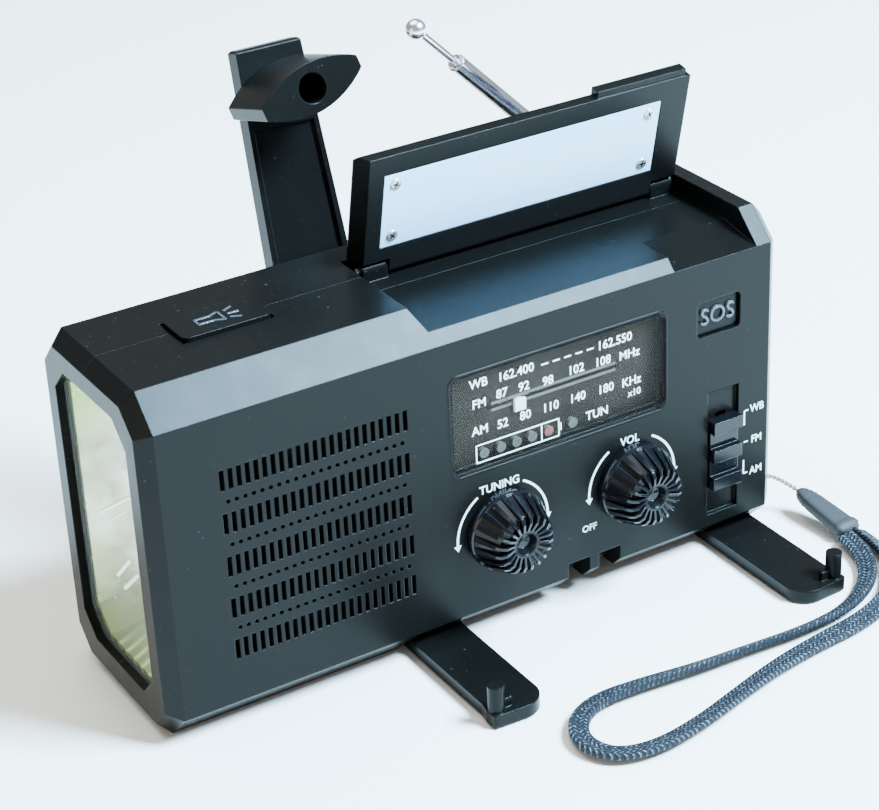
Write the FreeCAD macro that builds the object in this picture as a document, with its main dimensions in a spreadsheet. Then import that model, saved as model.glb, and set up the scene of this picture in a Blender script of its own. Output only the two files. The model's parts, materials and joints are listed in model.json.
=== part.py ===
"""Hand-cranked emergency radio: case, lamp, tuner, lid with solar panel, dynamo crank, aerial and legs.

Frame: X along the case, Y from the front face to the back, Z up. Millimetres.
The origin is on the underside, in the middle of the case's length and depth.
The lid, crank, aerial and legs are modelled opened out, as the radio stands in use.
"""

import FreeCAD, Part
import math
import os
import re
import Sketcher

V = FreeCAD.Vector
doc = FreeCAD.newDocument("EmergencyRadio")
sheet = doc.addObject("Spreadsheet::Sheet", "dimensions")

DIMENSIONS = {
    # case
    "case_length": 180, "case_depth": 56, "case_height": 93,
    "base": 0, "edge_chamfer": 8, "end_chamfer": 3.5, "wall": 2.2, "seam_y": 1.3,
    "gap": 0.3, "running": 0.05,
    # lid recess and lid
    "recess_left": -13, "recess_right": 82, "recess_depth": 5, "recess_back": 12,
    "notch_left": 56.5, "notch_back": -14, "notch_extra": 3,
    "hinge_y": 9, "hinge_z": 90.6, "hinge_radius": 2.1, "hinge_pin_radius": 0.8,
    "lid_front": -24.6, "lid_thickness": 4.3, "lid_flare": 2.3, "lid_open_angle": 77, "tab_left": 53,
    "solar_pocket": 1.3, "diffuser_thickness": 1.3, "diffuser_length": 81, "diffuser_width": 21,
    # lamp in the left end
    "lamp_half_width": 19.5, "lamp_low": 10, "lamp_high": 84.5, "lamp_corner": 6,
    "lens_lip": 2, "lens_thickness": 1.6, "reflector_depth": 17, "led_radius": 2.5,
    # dial
    "window_x": 21.9, "window_z": 61.6, "window_length": 63.2, "window_height": 27,
    "window_corner": 2.2, "window_recess": 1.5, "track_z": 62, "track_low": 4.8, "pointer_x": 11.9,
    "indicator_z": 50.9, "window_ledge": 1.3,
    # knobs
    "tuning_x": 4.1, "volume_x": 43.3, "knob_z": 30, "knob_radius": 11, "knob_nose": 8.5,
    "knob_height": 11, "flutes": 20, "flute_radius": 1, "flute_depth": 2.1, "hub_radius": 3.4,
    "skirt_height": 2.6, "shaft_radius": 3,
    # speaker grille
    "grille_left": -70.9, "grille_pitch": 2.21, "slot_columns": 23, "slot_width": 1.2,
    "slot_height": 5.4, "slot_top_z": 68.4, "slot_rows": 5, "row_pitch": 11.45, "dot_radius": 0.55,
    "speaker_x": -46.3, "speaker_z": 45.5, "speaker_radius": 25,
    # band switch and buttons
    "band_x": 72.1, "band_z": 29.5, "band_slot_width": 9.8, "band_slot_height": 36.4,
    "slider_height": 20, "slider_travel": 8, "rib_height": 2.4, "rib_width": 3.6,
    "sos_x": 70.3, "sos_z": 69.2, "sos_width": 13.6, "sos_height": 10, "sos_corner": 1.6,
    "sos_sink": 1.1,
    "lamp_button_x": -55, "lamp_button_length": 24, "lamp_button_width": 13,
    # crank and dynamo
    "crank_x": -9.3, "crank_z": 60, "crank_pivot_y": 33.7, "crank_lean": 16,
    "crank_reach": 67, "arm_length": 78, "arm_width": 22.8, "arm_tip_width": 18.4, "arm_thickness": 5,
    "arm_rim": 1.8,
    "grip_depth": 20, "grip_half_length": 14.5, "grip_half_height": 6.2,
    "grip_turn": 15, "grip_floor": 3.5, "grip_bore_radius": 3.8,
    "gear_module": 1, "drive_teeth": 36, "pinion_teeth": 12, "gear_thickness": 4, "gear_y": 15,
    # aerial
    "aerial_x": 69, "aerial_y": 27, "aerial_z": 90, "aerial_lean": 45,
    "aerial_outer_length": 56.5, "aerial_tip_out": 12, "aerial_ball": 2.7,
    # legs
    "left_leg_x": -14.5, "right_leg_x": 77, "leg_pivot_y": -20, "leg_half_width": 7.4,
    "leg_reach": 41, "leg_bottom": 0.5, "leg_thickness": 3.4, "leg_recess": 4.6,
    "post_radius": 2.1, "post_height": 10.5, "post_offset": 5.8, "leg_corner": 6,
    "fin_length": 4.2, "fin_height": 3,
    # sockets at the back
    "flap_x": 52, "flap_z": 27, "flap_length": 24, "flap_height": 13, "flap_thickness": 1.6,
    # battery
    "battery_x": -31, "battery_y": 13.5, "battery_z": 14, "battery_radius": 9.1, "battery_length": 50,
    # wrist lanyard
    "eyelet_y": -20, "eyelet_z": 12, "string_radius": 0.6, "strap_radius": 2,
}
for row, (alias, value) in enumerate(DIMENSIONS.items(), start=1):
    sheet.set(f"A{row}", alias.replace("_", " "))
    sheet.set(f"B{row}", str(value))
    sheet.setAlias(f"B{row}", alias)
doc.recompute()

NODES = []
KNOWN = re.compile(r"\b(" + "|".join(sorted(DIMENSIONS, key=len, reverse=True)) + r")\b")


def bind(item, prop, text):
    """Bind a property to an expression written with the sheet's own words."""
    item.setExpression(prop, KNOWN.sub(lambda found: "dimensions." + found.group(1), str(text)))


def size(alias):
    return float(sheet.get(alias))


def node(item, label):
    """Name a finished piece; its label is the name of its file."""
    item.Label = label
    NODES.append(item)
    return item


def put(item, place, rotation=None):
    if rotation is not None:
        item.Placement = FreeCAD.Placement(V(0, 0, 0), rotation)
    for letter, text in zip("xyz", place):
        bind(item, "Placement.Base." + letter, text)
    return item


def box(name, low, extent):
    item = doc.addObject("Part::Box", name)
    for prop, text in zip(("Length", "Width", "Height"), extent):
        bind(item, prop, text)
    return put(item, low)


TURNS = {
    "x": FreeCAD.Rotation(V(0, 0, 1), V(1, 0, 0)),
    "y": FreeCAD.Rotation(V(0, 0, 1), V(0, 1, 0)),
    "z": FreeCAD.Rotation(),
}


def rod(name, start, radius, length, along):
    item = doc.addObject("Part::Cylinder", name)
    bind(item, "Radius", radius)
    bind(item, "Height", length)
    return put(item, start, TURNS[along])


def cone(name, start, radius, end_radius, length, along):
    item = doc.addObject("Part::Cone", name)
    bind(item, "Radius1", radius)
    bind(item, "Radius2", end_radius)
    bind(item, "Height", length)
    return put(item, start, TURNS[along])


def ball(name, centre, radius):
    item = doc.addObject("Part::Sphere", name)
    bind(item, "Radius", radius)
    return put(item, centre)


def fused(name, *items):
    item = doc.addObject("Part::MultiFuse", name)
    item.Shapes = list(items)
    return item


def cut(name, base, *tools):
    item = doc.addObject("Part::Cut", name)
    item.Base = base
    item.Tool = tools[0] if len(tools) == 1 else fused(name + "_tools", *tools)
    return item


def common(name, first, second):
    item = doc.addObject("Part::MultiCommon", name)
    item.Shapes = [first, second]
    return item


def group(name, solids):
    """Several separate solids of one kind as one piece."""
    item = doc.addObject("Part::Compound", name)
    item.Links = list(solids)
    return item


def shape(name, solid):
    item = doc.addObject("Part::Feature", name)
    item.Shape = solid
    return item


def sketch_on(body, role, offset):
    sketch = body.newObject("Sketcher::SketchObject", body.Name + "_sketch")
    plane = [item for item in body.Origin.OriginFeatures if item.Role == role][0]
    sketch.AttachmentSupport = [(plane, "")]
    sketch.MapMode = "FlatFace"
    bind(sketch, "AttachmentOffset.Base.z", f"-({offset})" if role == "XZ_Plane" else offset)
    return sketch


def outline(sketch, points):
    """Draw a closed outline whose corners are each tied to the sheet."""
    last = len(points) - 1
    for i in range(len(points)):
        angle = 2 * math.pi * i / len(points)
        turn = 2 * math.pi * (i + 1) / len(points)
        start = V(50 * math.cos(angle), 50 * math.sin(angle), 0)
        end = V(50 * math.cos(turn), 50 * math.sin(turn), 0)
        sketch.addGeometry(Part.LineSegment(start, end), False)
    for i in range(len(points)):
        sketch.addConstraint(Sketcher.Constraint("Coincident", i, 2, 0 if i == last else i + 1, 1))
    for i, corner in enumerate(points):
        for kind, text in zip(("DistanceX", "DistanceY"), corner):
            constraint = sketch.addConstraint(Sketcher.Constraint(kind, -1, 1, i, 1, 1.0))
            sketch.renameConstraint(constraint, f"{kind}{i}")
            bind(sketch, f"Constraints.{kind}{i}", text)


def prism(name, plane, offset, points, length):
    """A solid with the outline's section, from offset towards the plane's positive axis."""
    body = doc.addObject("PartDesign::Body", name)
    sketch = sketch_on(body, plane + "_Plane", offset)
    outline(sketch, points)
    pad = body.newObject("PartDesign::Pad", name + "_pad")
    pad.Profile = sketch
    pad.Reversed = plane == "XZ"
    bind(pad, "Length", length)
    body.Tip = pad
    return body


def dress(body, kind, radius, wanted):
    """Fillet or chamfer those edges of a body that the test picks."""
    doc.recompute()
    base = body.Tip
    names = [f"Edge{i}" for i, edge in enumerate(base.Shape.Edges, start=1) if wanted(edge)]
    feature = body.newObject("PartDesign::" + kind, f"{body.Name}_{kind}")
    feature.Base = (base, names)
    bind(feature, "Radius" if kind == "Fillet" else "Size", radius)
    body.Tip = feature
    return body


def runs_along(axis):
    return lambda edge: len(edge.Vertexes) == 2 and abs(
        (edge.Vertexes[1].Point - edge.Vertexes[0].Point).normalize().dot(axis)) > 0.999


def octagon(half_width, low, high, corner):
    """An upright rectangle with its corners cut off."""
    return [(f"-({half_width})", f"({low})+({corner})"), (f"-({half_width})+({corner})", low),
            (f"({half_width})-({corner})", low), (half_width, f"({low})+({corner})"),
            (half_width, f"({high})-({corner})"), (f"({half_width})-({corner})", high),
            (f"-({half_width})+({corner})", high), (f"-({half_width})", f"({high})-({corner})")]


# ---------------------------------------------------------------- case

def case_block():
    """The case's outside: an eight-sided bar with its two ends chamfered."""
    body = prism("case_block", "YZ", "-case_length/2",
                 octagon("case_depth/2", "base", "case_height", "edge_chamfer"), "case_length")
    return dress(body, "Chamfer", "end_chamfer", lambda edge: edge.BoundBox.XLength < 0.01)


outside = case_block()
inner_corner = "edge_chamfer-0.586*wall"
cavity = prism("cavity", "YZ", "-case_length/2+wall",
               octagon("case_depth/2-wall", "wall", "case_height-wall", inner_corner),
               "case_length-2*wall")
thin_case = cut("thin_case", outside, cavity)

# Blocks that give the recesses, sockets and bearings their walls, trimmed to the case's outside.
recess_floor = "case_height-recess_depth"
lid_pan = box("lid_pan", ("recess_left-wall-3", "-case_depth/2", recess_floor + "-notch_extra-wall"),
              ("recess_right-recess_left+wall+5.7", "case_depth/2+recess_back+wall", "20"))
leg_pan = box("leg_pan", ("left_leg_x-leg_half_width-3.5", "-case_depth/2", "0"),
              ("right_leg_x-left_leg_x+2*leg_half_width+5.6", "19", "leg_recess+wall"))
notch_pan = box("notch_pan", ("left_leg_x+leg_reach-6", "-case_depth/2", "0"),
                ("right_leg_x-left_leg_x-2*leg_reach+12", "11.5", "post_height+leg_bottom+3.4"))
aerial_pan = box("aerial_pan", ("aerial_x-8", "16", "77"), ("16", "12", "20"))
socket_pan = box("socket_pan", ("flap_x-flap_length/2-2", "case_depth/2-6", "flap_z-flap_height/2-2"),
                 ("flap_length+4", "6", "flap_height+4"))
eyelet_pan = box("eyelet_pan", ("case_length/2-7", "eyelet_y-6", "eyelet_z-6.5"), ("7", "12", "13"))
bearing_pan = rod("bearing_pan", ("crank_x", "case_depth/2-7", "crank_z"), "9", "7", "y")
pans = common("pans", outside, fused("pan_blocks", lid_pan, leg_pan, notch_pan, aerial_pan,
                                     socket_pan, eyelet_pan, bearing_pan))
blank = fused("case_blank", thin_case, pans)

lid_recess = prism("lid_recess", "XZ", "-case_depth/2-5", [
    ("recess_left", recess_floor), ("recess_right", recess_floor),
    ("recess_right", "case_height+5"), ("recess_left-6", "case_height+5"),
    ("recess_left-2.7", "case_height")], "case_depth/2+5+recess_back")
notch_fall = "notch_extra*(case_depth/2+5+notch_back)/(case_depth/2+notch_back)"
finger_notch = prism("finger_notch", "YZ", "notch_left", [
    ("notch_back", recess_floor), ("notch_back", recess_floor + "+10"),
    ("-case_depth/2-5", recess_floor + "+10"), ("-case_depth/2-5", recess_floor + "-" + notch_fall)],
    "recess_right-notch_left")
leg_recess = box("leg_recess", ("left_leg_x-leg_half_width-1.5", "-case_depth/2-2", "-5"),
                 ("right_leg_x-left_leg_x+2*leg_half_width+2", "19", "leg_recess+5"))


def post_notch(name, centre):
    return box(name, (centre + "-post_radius-1.2", "-case_depth/2-2", "-5"),
               ("2*post_radius+2.4", "10", "post_height+leg_bottom+6"))


lamp_opening = prism("lamp_opening", "YZ", "-case_length/2-2",
                     octagon("lamp_half_width", "lamp_low", "lamp_high", "lamp_corner"), "wall+4")
window_opening = box("window_opening", ("window_x-window_length/2+window_ledge", "-case_depth/2-2",
                                        "window_z-window_height/2+window_ledge"),
                     ("window_length-2*window_ledge", "wall+4", "window_height-2*window_ledge"))


def window_outline(margin):
    half_length = f"(window_length/2+{margin})"
    half_height = f"(window_height/2+{margin})"
    corners = []
    for sx, sz, first in ((-1, -1, "z"), (1, -1, "x"), (1, 1, "z"), (-1, 1, "x")):
        on_side = (f"window_x+({sx})*{half_length}", f"window_z+({sz})*({half_height}-window_corner)")
        on_edge = (f"window_x+({sx})*({half_length}-window_corner)", f"window_z+({sz})*{half_height}")
        corners += [on_side, on_edge] if first == "z" else [on_edge, on_side]
    return corners


window_seat = prism("window_seat", "XZ", "-case_depth/2-2", window_outline(0.1), "window_recess+2")
shaft_holes = [rod(name + "_shaft_hole", (name + "_x", "-case_depth/2-2", "knob_z"),
                   "shaft_radius+0.8", "8", "y") for name in ("tuning", "volume")]
band_seat = box("band_seat", ("band_x-band_slot_width/2", "-case_depth/2-2", "band_z-band_slot_height/2"),
                ("band_slot_width", "3.3", "band_slot_height"))
band_slot = box("band_slot", ("band_x-1.6", "-case_depth/2-2", "band_z-slider_travel-3"),
                ("3.2", "8", "2*slider_travel+6"))
sos_hole = dress(prism("sos_hole", "XZ", "-case_depth/2-2", [
    ("sos_x-sos_width/2", "sos_z-sos_height/2"), ("sos_x+sos_width/2", "sos_z-sos_height/2"),
    ("sos_x+sos_width/2", "sos_z+sos_height/2"), ("sos_x-sos_width/2", "sos_z+sos_height/2")],
    "8"), "Fillet", "sos_corner", runs_along(V(0, 1, 0)))
lamp_button_hole = box("lamp_button_hole", ("lamp_button_x-lamp_button_length/2", "-lamp_button_width/2+1",
                                            "case_height-5"),
                       ("lamp_button_length", "lamp_button_width", "8"))
flap_seat = box("flap_seat", ("flap_x-flap_length/2", "case_depth/2-flap_thickness-gap",
                              "flap_z-flap_height/2"),
                ("flap_length", "5", "flap_height"))
usb_hole = box("usb_hole", ("flap_x-9", "case_depth/2-8", "flap_z-2"), ("8.4", "10", "3.6"))
jack_hole = rod("jack_hole", ("flap_x+6", "case_depth/2-8", "flap_z"), "3.1", "10", "y")
crank_bore = rod("crank_bore", ("crank_x", "case_depth/2-8", "crank_z"), "5.6", "12", "y")
aerial_seat = box("aerial_seat", ("aerial_x-5", "case_depth/2-6", "aerial_z-5"), ("10.5", "8", "10"))
aerial_bore = rod("aerial_bore", ("aerial_x", "17", "aerial_z"), "1.5", "12", "y")
eyelet_seat = box("eyelet_seat", ("case_length/2-4", "eyelet_y-3.4", "eyelet_z-3.6"), ("6", "6.8", "7.2"))


def grille():
    """Five rows of upright slots with four rows of round holes between them."""
    solids = []
    front = -size("case_depth") / 2 - 1
    for row in range(int(size("slot_rows"))):
        row_z = size("slot_top_z") - row * size("row_pitch")
        for column in range(int(size("slot_columns"))):
            x = size("grille_left") + column * size("grille_pitch")
            corner = V(x - size("slot_width") / 2, front, row_z - size("slot_height") / 2)
            solids.append(Part.makeBox(size("slot_width"), 5, size("slot_height"), corner))
            if row and column:
                centre = V(x - size("grille_pitch") / 2, front, row_z + size("row_pitch") / 2)
                solids.append(Part.makeCylinder(size("dot_radius"), 5, centre, V(0, 1, 0)))
    return shape("grille_holes", Part.makeCompound(solids))


# Six case screws run from the back shell into posts on the front shell.
SCREW_PLACES = [(-63.6, 10), (-63, 84), (-28, 80), (26, 12), (84, 66), (84, 20)]
screw_posts = [rod(f"screw_post_{i}", (x, "-case_depth/2+1", z), "3.4", "case_depth/2+seam_y-1", "y")
               for i, (x, z) in enumerate(SCREW_PLACES)]
screw_tubes = [rod(f"screw_tube_{i}", (x, "seam_y", z), "3.4", "case_depth/2-seam_y-1", "y")
               for i, (x, z) in enumerate(SCREW_PLACES)]
inside_posts = common("inside_posts", outside, fused("all_posts", *screw_posts, *screw_tubes))
screw_holes = [rod(f"screw_hole_{i}", (x, "seam_y-12", z), "1.55", "40", "y")
               for i, (x, z) in enumerate(SCREW_PLACES)]
screw_sinks = [rod(f"screw_sink_{i}", (x, "seam_y+14", z), "2.7", "20", "y")
               for i, (x, z) in enumerate(SCREW_PLACES)]
whole_case = cut("whole_case", fused("case_with_posts", blank, inside_posts),
                 lid_recess, finger_notch, leg_recess,
                 post_notch("left_notch", "left_leg_x+leg_reach"),
                 post_notch("right_notch", "right_leg_x-leg_reach"),
                 lamp_opening, window_opening, window_seat, *shaft_holes, band_seat, band_slot,
                 sos_hole, lamp_button_hole, flap_seat, usb_hole, jack_hole, crank_bore,
                 aerial_seat, aerial_bore, eyelet_seat, *screw_holes, *screw_sinks)

front_half = box("front_half", ("-case_length", "-case_depth", "-10"),
                 ("2*case_length", "case_depth+seam_y", "case_height+30"))
back_half = box("back_half", ("-case_length", "seam_y", "-10"),
                ("2*case_length", "case_depth", "case_height+30"))
LEGS = {"left": ("left_leg_x", 1), "right": ("right_leg_x", -1)}
leg_bores = [rod(name + "_leg_bore", (x, "leg_pivot_y", "leg_recess-1"), "1.2", "wall+3", "z")
             for name, (x, _) in LEGS.items()]
eyelet_bar = rod("eyelet_bar", ("case_length/2-1.6", "eyelet_y", "eyelet_z-4"), "1", "8", "z")
front_solid = fused("front_solid", common("front_part", whole_case, front_half), eyelet_bar)
node(cut("front_case", front_solid, grille(), *leg_bores), "front_shell")

# The back shell carries a fixed knuckle at each end of the lid's hinge.
FIXED_KNUCKLES = [("recess_left+0.8", "7"), ("recess_right-7.8", "7")]
MOVING_KNUCKLES = [("recess_left+8.1", "recess_right-recess_left-16.2")]


def knuckle(name, start, length):
    barrel = rod(name + "_barrel", (start, "hinge_y", "hinge_z"), "hinge_radius", length, "x")
    foot = box(name + "_foot", (start, "hinge_y-hinge_radius", recess_floor + "-0.5"),
               (length, "recess_back-hinge_y+hinge_radius+0.5", "hinge_z-case_height+recess_depth+0.5"))
    return fused(name, barrel, foot)


knuckles = [knuckle(f"fixed_knuckle_{i}", start, length)
            for i, (start, length) in enumerate(FIXED_KNUCKLES)]
back_solid = fused("back_solid", common("back_part", whole_case, back_half), *knuckles)
pin_bore = rod("pin_bore", ("recess_left-0.5", "hinge_y", "hinge_z"), "hinge_pin_radius",
               "recess_right-recess_left-0.5", "x")
battery_bay = box("battery_bay", ("battery_x-battery_length/2-4", "case_depth/2-wall-1", "battery_z-9"),
                  ("battery_length+8", "8", "19"))
node(cut("back_case", back_solid, pin_bore, battery_bay), "rear_shell")
node(group("case_screw_group", [
    fused(f"case_screw_{i}", rod(f"screw_stem_{i}", (x, "seam_y-8", z), "1.4", "22", "y"),
          rod(f"screw_head_{i}", (x, "seam_y+14", z), "2.5", "2", "y"))
    for i, (x, z) in enumerate(SCREW_PLACES)]), "case_screws")
node(box("battery_door", ("battery_x-battery_length/2-3.8", "case_depth/2-wall-0.8", "battery_z-8.8"),
         ("battery_length+7.6", "wall+0.8", "18.6")), "battery_cover")

# ---------------------------------------------------------------- lamp in the left end

def lamp_outline(margin, corner="lamp_corner"):
    return octagon(f"lamp_half_width+({margin})", f"lamp_low-({margin})", f"lamp_high+({margin})", corner)


inner_face = "-case_length/2+wall"
node(prism("lens", "YZ", inner_face + "+0.02", lamp_outline("lens_lip"), "lens_thickness"), "lamp_lens")


def tray(name, start, depth, margin):
    """The reflector's bowl: two flat-sided outlines joined by sloping walls."""
    body = doc.addObject("PartDesign::Body", name)
    mouth = sketch_on(body, "YZ_Plane", start)
    outline(mouth, lamp_outline(margin))
    floor_sketch = sketch_on(body, "YZ_Plane", f"{start}+{depth}")
    outline(floor_sketch, lamp_outline(f"{margin}-8"))
    loft = body.newObject("PartDesign::AdditiveLoft", name + "_loft")
    loft.Profile = mouth
    loft.Sections = [floor_sketch]
    loft.Ruled = True
    body.Tip = loft
    return body


tray_start = inner_face + "+lens_thickness+0.04"
tray_block = tray("tray_block", tray_start, "reflector_depth", "1.4")
tray_hollow = tray("tray_hollow", tray_start + "-0.5", "reflector_depth-1", "0.2")
LAMP_LEDS_Z = (30, 47.25, 64.5)
led_x = tray_start + "+reflector_depth"
led_holes = [rod(f"led_hole_{i}", (led_x + "-4", "0", z), "led_radius+0.2", "8", "x")
             for i, z in enumerate(LAMP_LEDS_Z)]
node(cut("tray_cut", tray_block, tray_hollow, *led_holes), "lamp_reflector")
node(box("lamp_card", (led_x + "+0.1", "-9", "22"), ("1.6", "18", "50")), "lamp_board")
node(group("lamp_led_group", [
    fused(f"lamp_led_{i}", rod(f"lamp_led_stem_{i}", (led_x + "-3.4", "0", z), "led_radius", "3.5", "x"),
          ball(f"lamp_led_dome_{i}", (led_x + "-3.4", "0", z), "led_radius"))
    for i, z in enumerate(LAMP_LEDS_Z)]), "lamp_leds")

# ---------------------------------------------------------------- dial and circuit board

front = "-case_depth/2"
node(prism("window", "XZ", front + "+0.3", window_outline(0), "window_recess-0.3"), "dial_window")
node(cut("dial_card_cut",
         box("dial_card", ("window_x-window_length/2-0.5", front + "+wall+1.8", "window_z-window_height/2-0.5"),
             ("window_length+1", "0.8", "window_height")),
         box("pointer_slot", ("track_low-2", front + "+wall+1", "track_z-0.5"), ("38.5", "3", "1"))),
     "dial_plate")
node(fused("pointer", box("pointer_tab", ("pointer_x-1.6", front + "+wall+0.6", "track_z-2.9"),
                          ("3.2", "0.8", "3.2")),
           box("pointer_stem", ("pointer_x-0.8", front + "+wall+1.2", "track_z-0.3"), ("1.6", "2.4", "0.6")),
           box("pointer_carriage", ("pointer_x-4", front + "+wall+3.2", "track_z-2.5"), ("8", "1.4", "5"))),
     "dial_pointer")
INDICATORS_X = (0.9, 5.8, 10.4, 15, 19.9, 27.1)
node(group("indicator_group", [
    rod(f"indicator_{i}", (x, front + "+wall+0.4", "indicator_z"), "1.1", "1.4", "y")
    for i, x in enumerate(INDICATORS_X)]), "indicator_lamps")
node(box("board", ("-19", "-10", "18"), ("98", "1.6", "58")), "main_board")
node(cut("capacitor", box("capacitor_block", ("tuning_x-10", "-19", "knob_z-10"), ("20", "8.9", "20")),
         rod("capacitor_bore", ("tuning_x", "-20", "knob_z"), "shaft_radius+running", "7", "y")),
     "tuning_capacitor")
node(cut("pot", rod("pot_block", ("volume_x", "-19", "knob_z"), "8.5", "8.9", "y"),
         rod("pot_bore", ("volume_x", "-20", "knob_z"), "shaft_radius+running", "7", "y")),
     "volume_control")
node(box("band_block", ("band_x-4", "-19", "band_z-15"), ("8", "8.9", "30")), "band_switch")
node(group("push_switch_group", [
    box("sos_block", ("sos_x-3", "-18", "sos_z-3"), ("6", "7.9", "6")),
    box("lamp_switch_block", ("lamp_button_x-3", "-1.6", "case_height-17"), ("6", "6", "7"))]),
    "push_switches")
node(box("lamp_switch_card", ("lamp_button_x-14", "-6", "case_height-18.7"), ("28", "14", "1.6")),
     "lamp_switch_board")

# ---------------------------------------------------------------- speaker

speaker_at = ("speaker_x", front + "+wall+0.3", "speaker_z")
speaker_rim = rod("speaker_rim", speaker_at, "speaker_radius", "2", "y")
speaker_bowl = cone("speaker_bowl", ("speaker_x", front + "+wall+2.3", "speaker_z"),
                    "speaker_radius-2", "12", "9", "y")
speaker_mouth = cone("speaker_mouth", ("speaker_x", front + "+wall", "speaker_z"),
                     "speaker_radius-2.2", "10.5", "10", "y")
node(cut("speaker_chassis", fused("speaker_solid", speaker_rim, speaker_bowl), speaker_mouth),
     "speaker_frame")
node(cut("paper", cone("paper_outer", ("speaker_x", front + "+wall+1", "speaker_z"),
                       "speaker_radius-4.4", "9", "7", "y"),
         cone("paper_inner", ("speaker_x", front + "+wall+0.4", "speaker_z"),
              "speaker_radius-4.9", "8", "7", "y")), "speaker_cone")
node(rod("magnet", ("speaker_x", front + "+wall+11.5", "speaker_z"), "13", "8", "y"), "speaker_magnet")

# ---------------------------------------------------------------- knobs on their shafts

def knob(name, place):
    """A fluted, slightly tapered knob with a dished nose, made standing on its base and turned forward."""
    body = doc.addObject("PartDesign::Body", name)
    profile = sketch_on(body, "XZ_Plane", "base")
    outline(profile, [("base", "knob_height-3.2"), ("hub_radius-1.4", "knob_height-2.8"),
                      ("hub_radius-0.4", "knob_height-0.8"), ("hub_radius", "knob_height-0.8"),
                      ("knob_nose-2.4", "knob_height"), ("knob_nose-0.8", "knob_height-0.7"),
                      ("knob_nose", "knob_height-1.9"), ("knob_radius-0.3", "skirt_height"),
                      ("knob_radius", "skirt_height-0.5"), ("knob_radius", "base"), ("base", "base")])
    turned = body.newObject("PartDesign::Revolution", name + "_turned")
    turned.Profile = profile
    turned.ReferenceAxis = (profile, ["V_Axis"])
    turned.Angle = 360
    body.Tip = turned
    doc.recompute()
    upper = sketch_on(body, "XY_Plane", "knob_height+0.5")
    outline(upper, [("knob_nose-2.5", "-0.6*flute_radius"), ("knob_radius+3", "-1.7*flute_radius"),
                    ("knob_radius+3", "1.7*flute_radius"), ("knob_nose-2.5", "0.6*flute_radius")])
    lower = sketch_on(body, "XY_Plane", "skirt_height")
    outline(lower, [("knob_radius-0.7", "-0.85*flute_radius"), ("knob_radius+3", "-1.1*flute_radius"),
                    ("knob_radius+3", "1.1*flute_radius"), ("knob_radius-0.7", "0.85*flute_radius")])
    flute = body.newObject("PartDesign::SubtractiveLoft", name + "_flute")
    flute.Profile = upper
    flute.Sections = [lower]
    flute.Ruled = True
    body.Tip = flute
    doc.recompute()
    ray = sketch_on(body, "XY_Plane", "knob_height+0.5")
    outline(ray, [("hub_radius+0.3", "-0.25"), ("knob_nose+2", "-flute_radius-0.25"),
                  ("knob_nose+2", "flute_radius+0.25"), ("hub_radius+0.3", "0.25")])
    nose_flute = body.newObject("PartDesign::Pocket", name + "_nose_flute")
    nose_flute.Profile = ray
    bind(nose_flute, "Length", "flute_depth+0.5")
    body.Tip = nose_flute
    around = body.newObject("PartDesign::PolarPattern", name + "_flutes")
    around.Originals = [flute, nose_flute]
    around.Axis = ([item for item in body.Origin.OriginFeatures if item.Role == "Z_Axis"][0], [""])
    around.Angle = 360
    bind(around, "Occurrences", "flutes")
    body.Tip = around
    bore = body.newObject("Sketcher::SketchObject", name + "_bore_sketch")
    plane = [item for item in body.Origin.OriginFeatures if item.Role == "XY_Plane"][0]
    bore.AttachmentSupport = [(plane, "")]
    bore.MapMode = "FlatFace"
    bore.addGeometry(Part.Circle(V(0, 0, 0), V(0, 0, 1), 3), False)
    bore.addConstraint(Sketcher.Constraint("Coincident", 0, 3, -1, 1))
    constraint = bore.addConstraint(Sketcher.Constraint("Radius", 0, 1.0))
    bore.renameConstraint(constraint, "Radius")
    bind(bore, "Constraints.Radius", "shaft_radius+0.02")
    hole = body.newObject("PartDesign::Pocket", name + "_bore")
    hole.Profile = bore
    hole.Reversed = True
    bind(hole, "Length", "knob_height-4")
    body.Tip = hole
    return put(body, place, FreeCAD.Rotation(V(1, 0, 0), 90))


for name in ("tuning", "volume"):
    node(knob(name + "_knob_body", (name + "_x", front + "-gap", "knob_z")), name + "_knob")
    node(rod(name + "_spindle", (name + "_x", front + "-knob_height+4", "knob_z"),
             "shaft_radius", "knob_height+10.8", "y"), name + "_shaft")

# ---------------------------------------------------------------- band slider and buttons

slider_low = "band_z-slider_height/2"
slider_plate = box("slider_plate", ("band_x-band_slot_width/2+0.4", front + "-0.6", slider_low),
                   ("band_slot_width-0.8", "1.7", "slider_height"))
slider_ribs = [box(f"slider_rib_{i}", ("band_x-band_slot_width/2+0.4", front + "-rib_height",
                                       f"{slider_low}+{i}*(slider_height-rib_width)/2"),
                   ("band_slot_width-0.8", "rib_height", "rib_width")) for i in range(3)]
slider_stem = box("slider_stem", ("band_x-1.2", front + "+1", "band_z-2.4"), ("2.4", "7.6", "4.8"))
node(fused("slider", slider_plate, *slider_ribs, slider_stem), "band_slider")

sos_cap = dress(prism("sos_cap", "XZ", front + "+sos_sink", [
    ("sos_x-sos_width/2+gap", "sos_z-sos_height/2+gap"), ("sos_x+sos_width/2-gap", "sos_z-sos_height/2+gap"),
    ("sos_x+sos_width/2-gap", "sos_z+sos_height/2-gap"), ("sos_x-sos_width/2+gap", "sos_z+sos_height/2-gap")],
    "3.3-sos_sink"), "Fillet", "sos_corner-gap", runs_along(V(0, 1, 0)))
node(fused("sos_key", sos_cap, box("sos_stem", ("sos_x-2", front + "+3.2", "sos_z-2"), ("4", "5.8", "4"))),
     "sos_button")

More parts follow.
